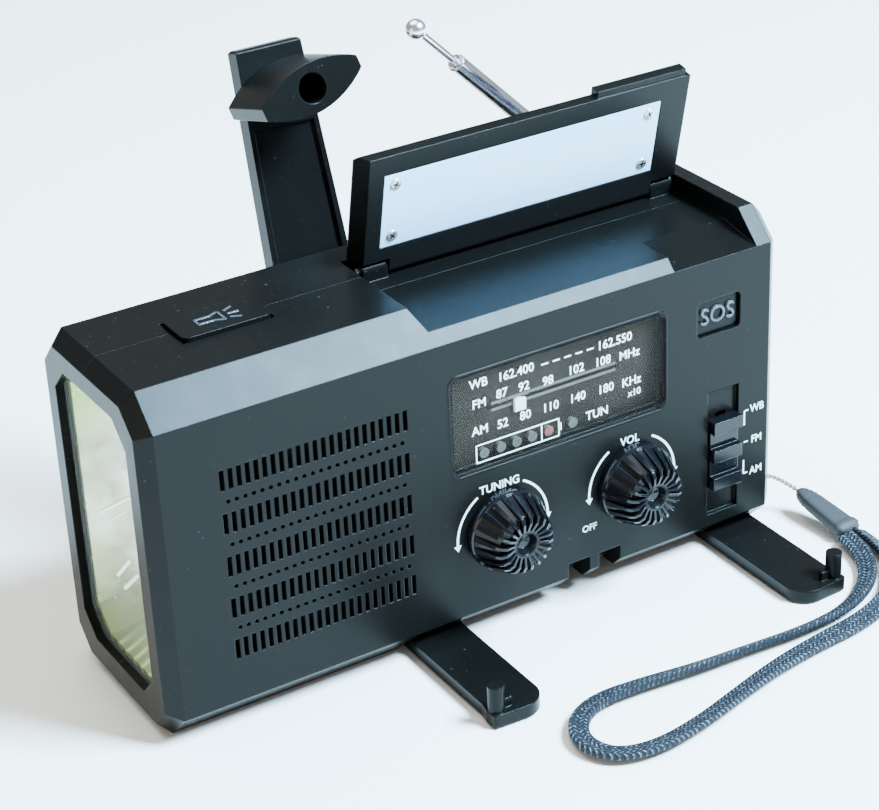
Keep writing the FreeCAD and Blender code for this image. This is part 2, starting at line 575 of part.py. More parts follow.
key_y = "-lamp_button_width/2+1"
lamp_cap = dress(prism("lamp_cap", "XY", "case_height-3.4", [
    ("lamp_button_x-lamp_button_length/2+gap", key_y + "+gap"),
    ("lamp_button_x+lamp_button_length/2-gap", key_y + "+gap"),
    ("lamp_button_x+lamp_button_length/2-gap", key_y + "+lamp_button_width-gap"),
    ("lamp_button_x-lamp_button_length/2+gap", key_y + "+lamp_button_width-gap")],
    "4.4"), "Fillet", "2", runs_along(V(0, 0, 1)))
node(fused("lamp_key", lamp_cap, box("lamp_stem", ("lamp_button_x-2", "-0.6", "case_height-8.4"),
                                     ("4", "4", "5.2"))), "lamp_button")

# ---------------------------------------------------------------- lid, made closed and then opened

def opened(item):
    """Turn a piece of the lid about the hinge to where the open lid stands."""
    turn = FreeCAD.Rotation(V(1, 0, 0), -size("lid_open_angle"))
    pivot = V(0, size("hinge_y"), size("hinge_z"))
    item.Placement = FreeCAD.Placement(pivot - turn.multVec(pivot), turn)
    return item


lid_low = "hinge_z-hinge_radius"
lid_x = "recess_left+0.6-lid_flare"
lid_length = "recess_right-recess_left-1.2+lid_flare"
lid_plate = prism("lid_plate", "YZ", lid_x, [
    ("lid_front", lid_low), ("hinge_y-3", lid_low), ("hinge_y-3", lid_low + "+lid_thickness"),
    ("lid_front+1.4", lid_low + "+lid_thickness"), ("lid_front", lid_low + "+lid_thickness-1.4")],
    lid_length)
lid_top = lid_low + "+lid_thickness"
flare_step = "lid_flare/lid_thickness"
lid_side = prism("lid_side", "XZ", "lid_front-5", [
    ("recess_left-10", lid_low + "-1"), (f"recess_left+0.6+{flare_step}", lid_low + "-1"),
    (f"recess_left+0.6-lid_flare-{flare_step}", lid_top + "+1"), ("recess_left-10", lid_top + "+1")],
    "hinge_y-lid_front+2.2")
lid_tab = box("lid_tab", ("tab_left", "lid_front-1.9", lid_low + "+0.4"),
              ("recess_right-tab_left-2", "5", "lid_thickness-1.4"))
lid_webs = []
for i, (start, length) in enumerate(MOVING_KNUCKLES):
    lid_webs.append(rod(f"moving_barrel_{i}", (start, "hinge_y", "hinge_z"), "hinge_radius", length, "x"))
    lid_webs.append(box(f"moving_web_{i}", (start, "hinge_y-3.2", lid_low), (length, "3.2", "2*hinge_radius")))
solar_seat = box("solar_seat", ("recess_left+6", "lid_front+4", lid_low + "+lid_thickness-solar_pocket"),
                 ("recess_right-recess_left-12", "hinge_y-lid_front-9", "5"))
diffuser_x = "(recess_left+recess_right)/2-diffuser_length/2-2"
diffuser_y = "hinge_y-7-diffuser_width"
diffuser_seat = box("diffuser_seat", (diffuser_x + "-0.15", diffuser_y + "-0.15", lid_low + "-3"),
                    ("diffuser_length+0.3", "diffuser_width+0.3", "3+diffuser_thickness"))
strip_seat = box("strip_seat", (diffuser_x + "+6", diffuser_y + "+7", lid_low),
                 ("diffuser_length-12", "7", "diffuser_thickness+0.9"))
lid_bore = rod("lid_bore", ("recess_left-1", "hinge_y", "hinge_z"), "hinge_pin_radius+running",
               "case_length/2+10", "x")
node(opened(cut("lid_body", fused("lid_solid", lid_plate, lid_tab, *lid_webs),
                lid_side, solar_seat, diffuser_seat, strip_seat, lid_bore)), "lid_frame")
node(opened(group("solar_wafer", [
    box("solar_sheet", ("recess_left+6.2", "lid_front+4.2", lid_low + "+lid_thickness-solar_pocket"),
        ("recess_right-recess_left-12.4", "hinge_y-lid_front-9.4", "solar_pocket-0.2"))])), "solar_panel")
node(opened(group("led_strip", [
    box("led_strip_card", (diffuser_x + "+6.2", diffuser_y + "+7.2", lid_low + "+diffuser_thickness+0.1"),
        ("diffuser_length-12.4", "6.6", "0.7"))])), "reading_led_strip")
LID_SCREWS = [(f"{diffuser_x}+3.2", f"{diffuser_y}+3"),
              (f"{diffuser_x}+diffuser_length-3.2", f"{diffuser_y}+3"),
              (f"{diffuser_x}+3.2", f"{diffuser_y}+diffuser_width-3"),
              (f"{diffuser_x}+diffuser_length-3.2", f"{diffuser_y}+diffuser_width-3")]
lid_screw_holes = [rod(f"lid_screw_hole_{i}", (x, y, lid_low + "-1"), "1.5", "5", "z")
                   for i, (x, y) in enumerate(LID_SCREWS)]
node(opened(cut("diffuser", box("diffuser_sheet", (diffuser_x, diffuser_y, lid_low),
                                ("diffuser_length", "diffuser_width", "diffuser_thickness")),
                *lid_screw_holes)), "reading_light_panel")
node(opened(group("lid_screw_group", [
    rod(f"lid_screw_{i}", (x, y, lid_low + "-0.3"), "1.4", "diffuser_thickness+0.3", "z")
    for i, (x, y) in enumerate(LID_SCREWS)])), "lid_screws")
node(rod("hinge_pin", ("recess_left-0.2", "hinge_y", "hinge_z"), "hinge_pin_radius",
         "recess_right-recess_left-1", "x"), "lid_hinge_pin")

# ---------------------------------------------------------------- crank

hub_front = "case_depth/2+gap"
hub_disc = rod("hub_disc", ("crank_x", hub_front, "crank_z"), "12.5", "2.4", "y")
hub_ears = [box(f"hub_ear_{side}", (f"crank_x+{start}", hub_front + "+1", "crank_z-3"), ("2.4", "7.7", "6"))
            for side, start in (("left", -12), ("right", 9.6))]
hub_ear_ends = [rod(f"hub_ear_end_{side}", (f"crank_x+{start}", "crank_pivot_y+2", "crank_z"),
                    "3", "2.4", "x")
                for side, start in (("left", -12), ("right", 9.6))]
fold_bore = rod("fold_bore", ("crank_x-14", "crank_pivot_y+2", "crank_z"), "1.3", "28", "x")
hub_shaft = rod("hub_shaft", ("crank_x", "gear_y-2", "crank_z"), "4", hub_front + "-gear_y+3", "y")
node(cut("hub", fused("hub_solid", hub_disc, *hub_ears, *hub_ear_ends, hub_shaft), fold_bore), "crank_hub")
node(cut("bush", rod("bush_solid", ("crank_x", "case_depth/2-8", "crank_z"), "5.6", "8", "y"),
         rod("bush_bore", ("crank_x", "case_depth/2-9", "crank_z"), "4+running", "12", "y")), "crank_bush")
node(rod("fold_pin", ("crank_x-12", "crank_pivot_y+2", "crank_z"), "1.3", "24", "x"), "crank_fold_pin")


def leaned(item):
    """Lean a piece of the crank's arm back about its fold pin."""
    turn = FreeCAD.Rotation(V(1, 0, 0), -size("crank_lean"))
    pivot = V(size("crank_x"), size("crank_pivot_y") + 2, size("crank_z"))
    item.Placement = FreeCAD.Placement(pivot - turn.multVec(pivot), turn)
    return item


arm_y = "crank_pivot_y+2-arm_thickness/2"
arm_plate = dress(prism("arm_plate", "XZ", arm_y, [
    ("crank_x-9.2", "crank_z"), ("crank_x+9.2", "crank_z"), ("crank_x+9.2", "crank_z+6"),
    ("crank_x+arm_width/2", "crank_z+12"), ("crank_x+arm_tip_width/2", "crank_z+arm_length"),
    ("crank_x-arm_tip_width/2", "crank_z+arm_length"), ("crank_x-arm_width/2", "crank_z+12"),
    ("crank_x-9.2", "crank_z+6")], "arm_thickness"), "Chamfer", "0.6",
    lambda edge: all(abs(v.Z - size("crank_z") - size("arm_length")) < 0.01 for v in edge.Vertexes))
arm_root = rod("arm_root", ("crank_x-9.2", "crank_pivot_y+2", "crank_z"), "2.9", "18.4", "x")
hollow_tip = "crank_z+crank_reach-10"
hollow_low, hollow_high = "(arm_width/2-arm_rim)", "(arm_width/4+arm_tip_width/4-arm_rim)"
arm_hollow = prism("arm_hollow", "XZ", arm_y + "-1", [
    (f"crank_x-{hollow_low}", "crank_z+14"), (f"crank_x+{hollow_low}", "crank_z+14"),
    (f"crank_x+{hollow_high}", hollow_tip), (f"crank_x-{hollow_high}", hollow_tip)], "2.2")
arm_bore = rod("arm_bore", ("crank_x-12", "crank_pivot_y+2", "crank_z"), "1.3+running", "24", "x")
grip_seat = rod("grip_seat", ("crank_x", arm_y + "-2", "crank_z+crank_reach"), "1.55", "10", "y")
grip_sink = rod("grip_sink", ("crank_x", arm_y + "+arm_thickness-1.4", "crank_z+crank_reach"),
                "3.3", "5", "y")
node(leaned(cut("arm", fused("arm_solid", arm_plate, arm_root), arm_hollow, arm_bore, grip_seat, grip_sink)),
     "crank_arm")
screw_stem = rod("grip_screw_stem", ("crank_x", arm_y + "-grip_floor-1", "crank_z+crank_reach"), "1.5",
                 "grip_floor+arm_thickness-0.4", "y")
screw_cap = rod("grip_screw_cap", ("crank_x", arm_y + "-grip_floor-2", "crank_z+crank_reach"), "3",
                "1.4", "y")
screw_tail = rod("grip_screw_tail", ("crank_x", arm_y + "+arm_thickness-1.4", "crank_z+crank_reach"), "3",
                 "1.2", "y")
node(leaned(fused("grip_screw_solid", screw_stem, screw_cap, screw_tail)), "grip_screw")


def almond():
    """The grip: an upright lens of two wide arcs with blunt tips, bored along its turning axis."""
    half, height, tip = size("grip_half_length"), size("grip_half_height"), 1.6
    centre = V(size("crank_x"), 0, size("crank_z") + size("crank_reach"))
    back = size("crank_pivot_y") + 2 - size("arm_thickness") / 2 - 0.3
    corners = [V(-half, 0, -tip), V(0, 0, -height), V(half, 0, -tip),
               V(half, 0, tip), V(0, 0, height), V(-half, 0, tip)]
    turn = FreeCAD.Rotation(V(0, -1, 0), size("grip_turn"))
    a, b, c, d, e, f = [turn.multVec(corner) + centre + V(0, back, 0) for corner in corners]
    wire = Part.Wire([Part.Arc(a, b, c).toShape(), Part.LineSegment(c, d).toShape(),
                      Part.Arc(d, e, f).toShape(), Part.LineSegment(f, a).toShape()])
    solid = Part.Face(wire).extrude(V(0, -size("grip_depth"), 0))
    top = V(centre.x, back - size("grip_depth") - 1, centre.z)
    bore_depth = size("grip_depth") + 1 - size("grip_floor")
    solid = solid.cut(Part.makeCylinder(size("grip_bore_radius"), bore_depth, top, V(0, 1, 0)))
    solid = solid.cut(Part.makeCylinder(1.6, 60, top, V(0, 1, 0)))
    return shape("grip_solid", solid)


node(leaned(almond()), "crank_grip")

# ---------------------------------------------------------------- dynamo inside the back shell

def gear(name, teeth, centre_x, centre_z, bore, start):
    """A spur gear with slim straight-flanked teeth; start is where its first tooth points, in teeth."""
    module = size("gear_module")
    outer, root = (teeth / 2 + 0.75) * module, (teeth / 2 - 1.1) * module
    points = []
    for i in range(teeth):
        for radius, share in ((root, -0.2), (outer, -0.07), (outer, 0.07), (root, 0.2)):
            angle = 2 * math.pi * (i + start + share) / teeth
            points.append(V(centre_x + radius * math.cos(angle), 0, centre_z + radius * math.sin(angle)))
    face = Part.Face(Part.makePolygon(points + points[:1]))
    solid = face.extrude(V(0, size("gear_thickness"), 0))
    solid = solid.cut(Part.makeCylinder(bore, 20, V(centre_x, -5, centre_z), V(0, 1, 0)))
    item = shape(name, solid)
    item.Placement = FreeCAD.Placement(V(0, size("gear_y"), 0), FreeCAD.Rotation())
    return item


drive_teeth, pinion_teeth = int(size("drive_teeth")), int(size("pinion_teeth"))
dynamo_x = size("crank_x") + size("gear_module") * (drive_teeth + pinion_teeth) / 2
node(gear("drive_wheel", drive_teeth, size("crank_x"), size("crank_z"), 4, 0), "drive_gear")
node(fused("rotor", gear("pinion_wheel", pinion_teeth, dynamo_x, size("crank_z"), 1, 0.5),
           rod("dynamo_spindle", (dynamo_x, "gear_y-6", "crank_z"), "1.5", "10.5", "y")), "dynamo_rotor")
node(cut("dynamo_can", rod("dynamo_block", (dynamo_x, "2", "crank_z"), "12", "gear_y-3", "y"),
         rod("dynamo_bore", (dynamo_x, "gear_y-6.5", "crank_z"), "1.5+running", "20", "y")), "dynamo")

# ---------------------------------------------------------------- battery and ferrite aerial

cell_start = "battery_x-battery_length/2"
node(rod("cell", (cell_start, "battery_y", "battery_z"), "battery_radius", "battery_length", "x"),
     "battery_cell")
node(group("contact_group", [
    box("contact_left", (cell_start + "-1.3", "battery_y-5", "battery_z-6"), ("1", "10", "12")),
    box("contact_right", (cell_start + "+battery_length+0.3", "battery_y-5", "battery_z-6"),
        ("1", "10", "12"))]), "battery_contacts")
node(rod("ferrite", ("-65", "17", "74"), "3.6", "32", "x"), "ferrite_rod")
node(cut("coil", rod("coil_solid", ("-50", "17", "74"), "5", "16", "x"),
         rod("coil_bore", ("-52", "17", "74"), "3.6+running", "20", "x")), "ferrite_coil")

# ---------------------------------------------------------------- sockets and their flap

usb_shell = cut("usb_shell",
                box("usb_block", ("flap_x-8.8", "case_depth/2-12", "flap_z-1.8"), ("8", "9.6", "3.2")),
                box("usb_mouth", ("flap_x-8.3", "case_depth/2-11", "flap_z-1.3"), ("7", "10", "2.2")))
jack_shell = cut("jack_shell",
                 rod("jack_solid", ("flap_x+6", "case_depth/2-12", "flap_z"), "2.9", "9.6", "y"),
                 rod("jack_bore", ("flap_x+6", "case_depth/2-10", "flap_z"), "1.8", "10", "y"))
node(group("socket_group", [usb_shell, jack_shell]), "charging_and_earphone_sockets")
node(box("flap", ("flap_x-flap_length/2+gap", "case_depth/2-flap_thickness", "flap_z-flap_height/2+gap"),
         ("flap_length-2*gap", "flap_thickness", "flap_height-2*gap")), "socket_flap")

# ---------------------------------------------------------------- telescopic aerial

def swung(item):
    """Lean a piece of the aerial over to the left about its pivot screw."""
    turn = FreeCAD.Rotation(V(0, 1, 0), -size("aerial_lean"))
    pivot = V(size("aerial_x"), size("aerial_y"), size("aerial_z"))
    item.Placement = FreeCAD.Placement(pivot - turn.multVec(pivot), turn)
    return item


node(rod("pivot_pin", ("aerial_x", "17.2", "aerial_z"), "1.5", "12.6", "y"), "aerial_pivot")
eye = rod("aerial_eye", ("aerial_x", "aerial_y-2", "aerial_z"), "3.4", "4", "y")
neck = rod("aerial_neck", ("aerial_x", "aerial_y", "aerial_z+2.4"), "1.8", "5.1", "z")
node(swung(cut("knuckle_cut", fused("aerial_root", eye, neck),
               rod("eye_bore", ("aerial_x", "aerial_y-4", "aerial_z"), "1.5+running", "8", "y"))),
     "aerial_knuckle")


def aerial_tube(label, start, length, radius, bore):
    tube = rod(label + "_rod", ("aerial_x", "aerial_y", "aerial_z+" + start), radius, length, "z")
    if bore:
        hollow = rod(label + "_bore", ("aerial_x", "aerial_y", "aerial_z+" + start + "+2"), bore, length, "z")
        tube = cut(label + "_tube", tube, hollow)
    return node(swung(tube), label)


aerial_tube("aerial_outer_tube", "7.5", "aerial_outer_length-7.5", "2.4", "2.0")
aerial_tube("aerial_middle_tube", "10", "aerial_outer_length-9", "1.95", "1.0")
tip_rod = rod("tip_rod", ("aerial_x", "aerial_y", "aerial_z+24"), "0.95",
              "aerial_outer_length+aerial_tip_out-22", "z")
tip_ball = ball("tip_ball", ("aerial_x", "aerial_y", "aerial_z+aerial_outer_length+aerial_tip_out+4"),
                "aerial_ball")
node(swung(fused("tip", tip_rod, tip_ball)), "aerial_tip")

# ---------------------------------------------------------------- folding legs

def leg(name, pivot_x, side):
    """A flat leg, well rounded on one side of its tip, with a finned upright post on the other."""
    outer = f"{pivot_x}-({side})*"
    inside = size(pivot_x) + side * size("leg_half_width")
    outside_x = size(pivot_x) - side * 8

    def at_tip(edge):
        return runs_along(V(0, 0, 1))(edge) and edge.Vertexes[0].Y < -50

    plate = dress(prism(name + "_plate", "XY", "leg_bottom", [
        (outer + "leg_half_width", "leg_pivot_y"), (outer + "leg_half_width", "leg_pivot_y-leg_reach+4"),
        (outer + "8", "leg_pivot_y-leg_reach+1"), (outer + "8", "leg_pivot_y-leg_reach-2.6"),
        (outer + "(-leg_half_width)", "leg_pivot_y-leg_reach-3.4"),
        (outer + "(-leg_half_width)", "leg_pivot_y")], "leg_thickness"), "Fillet", "leg_corner",
        lambda edge: at_tip(edge) and (edge.Vertexes[0].X - inside) * side > -0.1)
    dress(plate, "Fillet", "1", lambda edge: at_tip(edge) and (edge.Vertexes[0].X - outside_x) * side < 0.7)
    hub = rod(name + "_hub", (pivot_x, "leg_pivot_y", "leg_bottom"), "leg_half_width", "leg_thickness", "z")
    post = rod(name + "_post", (outer + "post_offset", "leg_pivot_y-leg_reach", "leg_bottom"),
               "post_radius", "post_height", "z")
    fin = box(name + "_fin", (f"{outer}post_offset+({side - 1})/2*fin_length", "leg_pivot_y-leg_reach-0.6",
                              "leg_bottom+leg_thickness-0.5"), ("fin_length", "1.2", "fin_height"))
    bore = rod(name + "_bore", (pivot_x, "leg_pivot_y", "-2"), "1.2+running", "10", "z")
    sink = rod(name + "_sink", (pivot_x, "leg_pivot_y", "-2"), "2.6", "2.5+1.2", "z")
    return cut(name, fused(name + "_solid", plate, hub, post, fin), bore, sink)


for name, (pivot_x, side) in LEGS.items():
    node(leg(name + "_leg_body", pivot_x, side), name + "_leg")
node(group("leg_pin_group", [
    fused(name + "_pin",
          rod(name + "_pin_stem", (x, "leg_pivot_y", "leg_bottom"), "1.2", "leg_recess+wall-1", "z"),
          rod(name + "_pin_head", (x, "leg_pivot_y", "leg_bottom"), "2.4", "1.1", "z"))
    for name, (x, _) in LEGS.items()]), "leg_pivot_screws")

# ---------------------------------------------------------------- wrist lanyard

# Hand-chosen points of the thin string and of the strap's loop, both lying loose.
STRING_ROUTE = [(89.5, -20, 12), (93, -20.4, 11.4), (97, -22.4, 9.2), (100, -26, 6.4)]
STRAP_ROUTE = [
    (99.3, -46, 2.6), (98.6, -53, 2.4), (94.5, -61.5, 2.1), (87, -68.5, 2.1), (77, -73, 2.1),
    (63, -74, 2.1), (47, -72.8, 2.1), (31.5, -72, 2.1), (16, -70, 2.1), (4, -69.5, 2.1),
    (-4, -72.5, 2.1), (-8.8, -78.5, 2.1), (-9, -85, 2.1), (-5, -90.8, 2.1), (4.8, -93, 2.1),
    (18.4, -91, 2.1), (33.7, -86.6, 2.1), (47, -83, 2.1), (62, -80.6, 2.1), (77, -79.4, 2.1),
    (90, -75, 2.1), (98.8, -67, 2.1), (103.6, -57, 2.4), (103.8, -46.2, 2.6)]


def tube_along(name, route, radius):
    """A round tube of straight runs joined by tangent arcs, each as large as its two runs allow."""
    points = [V(*point) for point in route]
    edges, start = [], points[0]
    for before, corner, after in zip(points, points[1:], points[2:]):
        inward, outward = (before - corner), (after - corner)
        shorter = min(inward.Length, outward.Length)
        inward.normalize()
        outward.normalize()
        half_turn = (math.pi - inward.getAngle(outward)) / 2
        reach = 0.45 * shorter
        bend = reach / math.tan(half_turn)
        middle = corner + (inward + outward).normalize() * (bend / math.cos(half_turn) - bend)
        first, last = corner + inward * reach, corner + outward * reach
        edges.append(Part.LineSegment(start, first).toShape())
        edges.append(Part.Arc(first, middle, last).toShape())
        start = last
        print(f"{name}: bend radius {bend:.1f} at {tuple(round(value, 1) for value in corner)}")
    edges.append(Part.LineSegment(start, points[-1]).toShape())
    path = Part.Wire(edges)
    heading = points[1] - points[0]
    ring = Part.Wire(Part.makeCircle(radius, points[0], heading))
    solid = path.makePipeShell([ring], True, False)
    ratio = solid.Volume / (math.pi * radius ** 2 * path.Length)
    print(f"{name}: length {path.Length:.1f}, volume ratio {ratio:.4f}")
    return shape(name, solid)


node(tube_along("string", STRING_ROUTE, size("string_radius")), "lanyard_string")
node(tube_along("strap", STRAP_ROUTE, size("strap_radius")), "lanyard_strap")


def sleeve():
    """The moulded sleeve that joins the string to the strap, a box that flattens towards the strap."""
    start, end = V(*STRING_ROUTE[-1]), V(101.6, -45.4, 3)
    along = (end - start).normalize()
    sections = []
    corner_shares = ((-1, -0.5), (-0.6, -1), (0.6, -1), (1, -0.5), (1, 0.5), (0.6, 1), (-0.6, 1), (-1, 0.5))
    middle = start + along * 3
    for centre, half_width, half_height in ((start, 1.8, 1.7), (middle, 2.8, 2.2), (end, 4.6, 2.5)):
        across = V(0, 0, 1).cross(along).normalize()
        upright = along.cross(across)
        corners = [centre + across * (half_width * a) + upright * (half_height * b)
                   for a, b in corner_shares]
        sections.append(Part.makePolygon(corners + corners[:1]))
    return shape("sleeve_solid", Part.makeLoft(sections, True, True))


node(sleeve(), "lanyard_sleeve")

# ---------------------------------------------------------------- checks and export

doc.recompute()
failed = [item for item in doc.Objects if "Invalid" in item.State or "Error" in item.State]
if failed:
    raise RuntimeError("; ".join(f"{item.Label}: {item.getStatusString()}" for item in failed))
os.makedirs("parts", exist_ok=True)
for item in NODES:
    solid = item.Shape
    if solid.isNull() or not solid.isValid() or not solid.Solids:
        raise RuntimeError(f"{item.Label} has no valid solid")
    solid.exportStep(f"parts/{item.Label}.step")
    print(f"{item.Label}: {len(solid.Solids)} solids, {solid.Volume:.0f} mm3")
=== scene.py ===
"""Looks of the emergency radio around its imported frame: materials, printing, lanyard, light and camera."""
import json
import math

import bmesh
import bpy
from mathutils import Matrix, Vector


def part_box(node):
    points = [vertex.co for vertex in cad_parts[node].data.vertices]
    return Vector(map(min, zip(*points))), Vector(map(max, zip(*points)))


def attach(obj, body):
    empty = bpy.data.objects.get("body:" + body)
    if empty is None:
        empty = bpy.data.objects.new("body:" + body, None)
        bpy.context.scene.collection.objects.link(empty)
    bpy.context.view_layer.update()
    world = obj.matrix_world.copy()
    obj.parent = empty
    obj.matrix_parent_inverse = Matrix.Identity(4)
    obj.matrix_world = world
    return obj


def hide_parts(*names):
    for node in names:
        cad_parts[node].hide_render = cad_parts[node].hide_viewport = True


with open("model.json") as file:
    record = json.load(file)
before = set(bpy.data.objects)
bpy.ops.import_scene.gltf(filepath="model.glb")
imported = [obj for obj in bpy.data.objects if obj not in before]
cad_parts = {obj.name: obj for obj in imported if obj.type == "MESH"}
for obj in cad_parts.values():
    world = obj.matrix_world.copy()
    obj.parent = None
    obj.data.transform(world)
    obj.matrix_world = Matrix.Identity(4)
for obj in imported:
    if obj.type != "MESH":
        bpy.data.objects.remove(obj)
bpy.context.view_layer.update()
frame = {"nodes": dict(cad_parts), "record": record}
NODES = frame["nodes"]
RECORD = frame["record"]
MM = 0.001

LID_JOINT = next(joint for joint in RECORD["behaviour"]["joints"] if joint["name"] == "lid_hinge")
LID_HINGE = Vector((0, *LID_JOINT["pos_m"][1:]))
LID_ANGLE = math.radians(LID_JOINT["range_deg"][1])
FACE_Y = round(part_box("front_shell")[0].y / MM) * MM


# ---------------------------------------------------------------- material helpers

class Surface:
    """A node material built step by step around one Principled shader."""

    def __init__(self, name, color, roughness, **sockets):
        self.material = bpy.data.materials.new(name)
        self.material.use_nodes = True
        self.tree = self.material.node_tree
        self.shader = self.tree.nodes["Principled BSDF"]
        self.shader.inputs["Base Color"].default_value = (*color, 1)
        self.shader.inputs["Roughness"].default_value = roughness
        for socket, value in sockets.items():
            self.shader.inputs[socket.replace("_", " ")].default_value = value
        self.place = self.add("ShaderNodeTexCoord").outputs["Object"]

    def add(self, kind, inputs=None, **settings):
        node = self.tree.nodes.new(kind)
        for key, value in settings.items():
            setattr(node, key, value)
        for key, value in (inputs or {}).items():
            if isinstance(value, bpy.types.NodeSocket):
                self.tree.links.new(value, node.inputs[key])
            else:
                node.inputs[key].default_value = value
        return node

    def math(self, operation, first, second=0.0):
        return self.add("ShaderNodeMath", {0: first, 1: second}, operation=operation).outputs[0]

    def noise(self, size, detail=2.0, place=None, stretch=None):
        """Noise with features of that size in metres; stretch is a scale per axis."""
        where = place or self.place
        if stretch:
            where = self.add("ShaderNodeMapping", {"Vector": where, "Scale": stretch}).outputs[0]
        found = self.add("ShaderNodeTexNoise", {"Vector": where, "Scale": 1 / size, "Detail": detail})
        return found.outputs["Fac"]

    def ramp(self, value, low, high, to_low=0.0, to_high=1.0):
        found = self.add("ShaderNodeMapRange", {"Value": value, "From Min": low, "From Max": high,
                                                "To Min": to_low, "To Max": to_high})
        return found.outputs[0]

    def mix(self, factor, first, second):
        """Mix two colours, given as sockets or as RGB."""
        node = self.add("ShaderNodeMix", data_type="RGBA")
        for key, value in ((0, factor), (6, first), (7, second)):
            if isinstance(value, bpy.types.NodeSocket):
                self.tree.links.new(value, node.inputs[key])
            elif isinstance(value, (tuple, list)):
                node.inputs[key].default_value = (*value, 1)
            else:
                node.inputs[key].default_value = value
        return node.outputs[2]

    def edges(self, radius):
        """(rounded normal, how near an edge a point is)."""
        rounded = self.add("ShaderNodeBevel", {"Radius": radius}, samples=6).outputs[0]
        flat = self.add("ShaderNodeNewGeometry").outputs["Normal"]
        same = self.add("ShaderNodeVectorMath", {0: rounded, 1: flat}, operation="DOT_PRODUCT").outputs[1]
        return rounded, self.ramp(same, 0.995, 0.8)

    def bump(self, height, depth, normal=None, strength=1.0):
        inputs = {"Height": height, "Distance": depth, "Strength": strength}
        if normal is not None:
            inputs["Normal"] = normal
        return self.add("ShaderNodeBump", inputs).outputs[0]

    def finish(self, color=None, roughness=None, normal=None):
        for socket, value in (("Base Color", color), ("Roughness", roughness), ("Normal", normal)):
            if value is not None:
                self.tree.links.new(value, self.shader.inputs[socket])
        return self.material


def plastic(name, color, roughness, grain=0.00022, depth=0.00003, edge_radius=0.00045, edge_wear_and_highlight=0.35, **sockets):
    """Moulded plastic: fine grain, cloudy sheen, faint handling marks and slightly polished edges; the edges
    are also painted lighter, partly rubbed wear and partly a painted edge highlight.
    """
    s = Surface(name, color, roughness, **sockets)
    rounded, near_edge = s.edges(edge_radius)
    clouds = s.noise(0.03, 4)
    smears = s.ramp(s.noise(0.006, 6, stretch=(1, 1, 0.35)), 0.45, 0.75)
    specks = s.ramp(s.noise(0.0009, 1), 0.74, 0.8)
    lighter = tuple(min(1, c * 1.7 + 0.006) for c in color)
    tint = s.mix(s.ramp(clouds, 0.3, 0.7, 0, 0.5), color, tuple(c * 1.25 for c in color))
    # Lighter colour near every edge: partly rubbed wear, partly a painted edge highlight.
    tint = s.mix(s.math("MULTIPLY", near_edge, edge_wear_and_highlight), tint, lighter)
    tint = s.mix(s.math("MULTIPLY", specks, 0.25), tint, tuple(c + 0.08 for c in lighter))
    rough = s.math("ADD", s.ramp(clouds, 0.3, 0.7, roughness - 0.02, roughness + 0.02),
                   s.math("MULTIPLY", smears, -0.04))
    rough = s.math("SUBTRACT", rough, s.math("MULTIPLY", near_edge, 0.1))
    normal = s.bump(s.noise(grain, 3), depth, rounded, 0.6)
    return s.finish(tint, rough, normal)


def metal(name, color, roughness, scratches=(1, 1, 30)):
    """Plated or brushed metal with fine scratches along one axis and patchy gloss."""
    s = Surface(name, color, roughness, Metallic=1.0)
    fine = s.noise(0.0004, 3, stretch=scratches)
    patches = s.noise(0.004, 3)
    rough = s.math("ADD", s.ramp(patches, 0.35, 0.65, roughness, roughness + 0.1),
                   s.math("MULTIPLY", fine, 0.08))
    tint = s.mix(s.ramp(patches, 0.4, 0.7, 0, 0.35), color, tuple(c * 0.8 for c in color))
    rounded, _ = s.edges(0.00015)
    return s.finish(tint, rough, s.bump(fine, 0.00001, rounded, 0.3))


def lid_place(s):
    """Coordinates in the lid's own plane, as if the lid were closed."""
    turn = Matrix.Rotation(LID_ANGLE, 4, "X")
    shift = LID_HINGE - turn @ LID_HINGE
    return s.add("ShaderNodeMapping", {"Vector": s.place, "Location": shift,
                                       "Rotation": (LID_ANGLE, 0, 0)}).outputs[0]


def line_every(s, value, spacing, width, offset=0.0):
    """1 on lines of that width at that spacing, along one coordinate."""
    step = s.math("FRACT", s.math("DIVIDE", s.math("ADD", value, offset), spacing))
    return s.math("LESS_THAN", step, width / spacing)


def solar_material():
    """Dark blue cells under clear film, with silver fingers and wide bus bars."""
    s = Surface("solar_cells", (0.012, 0.018, 0.05), 0.16, Coat_Weight=0.6, Coat_Roughness=0.08)
    flat = s.add("ShaderNodeSeparateXYZ", {0: lid_place(s)})
    fingers = line_every(s, flat.outputs[0], spacing=0.0021, width=0.00012)
    bars = line_every(s, flat.outputs[1], spacing=0.0122, width=0.0007, offset=0.004)
    cells = line_every(s, flat.outputs[0], spacing=0.0138, width=0.0006, offset=0.006)
    crystal = s.add("ShaderNodeTexVoronoi", {"Vector": s.place, "Scale": 320}).outputs["Color"]
    grey = s.add("ShaderNodeRGBToBW", {0: crystal}).outputs[0]
    base = s.mix(s.ramp(grey, 0.2, 0.8), (0.008, 0.013, 0.042), (0.02, 0.032, 0.085))
    base = s.mix(s.math("MULTIPLY", fingers, 0.55), base, (0.45, 0.47, 0.5))
    base = s.mix(bars, base, (0.5, 0.52, 0.55))
    base = s.mix(cells, base, (0.015, 0.015, 0.018))
    rough = s.ramp(s.noise(0.01, 4), 0.3, 0.7, 0.12, 0.24)
    return s.finish(base, rough, s.bump(s.noise(0.002, 2), 0.00002, None, 0.3))


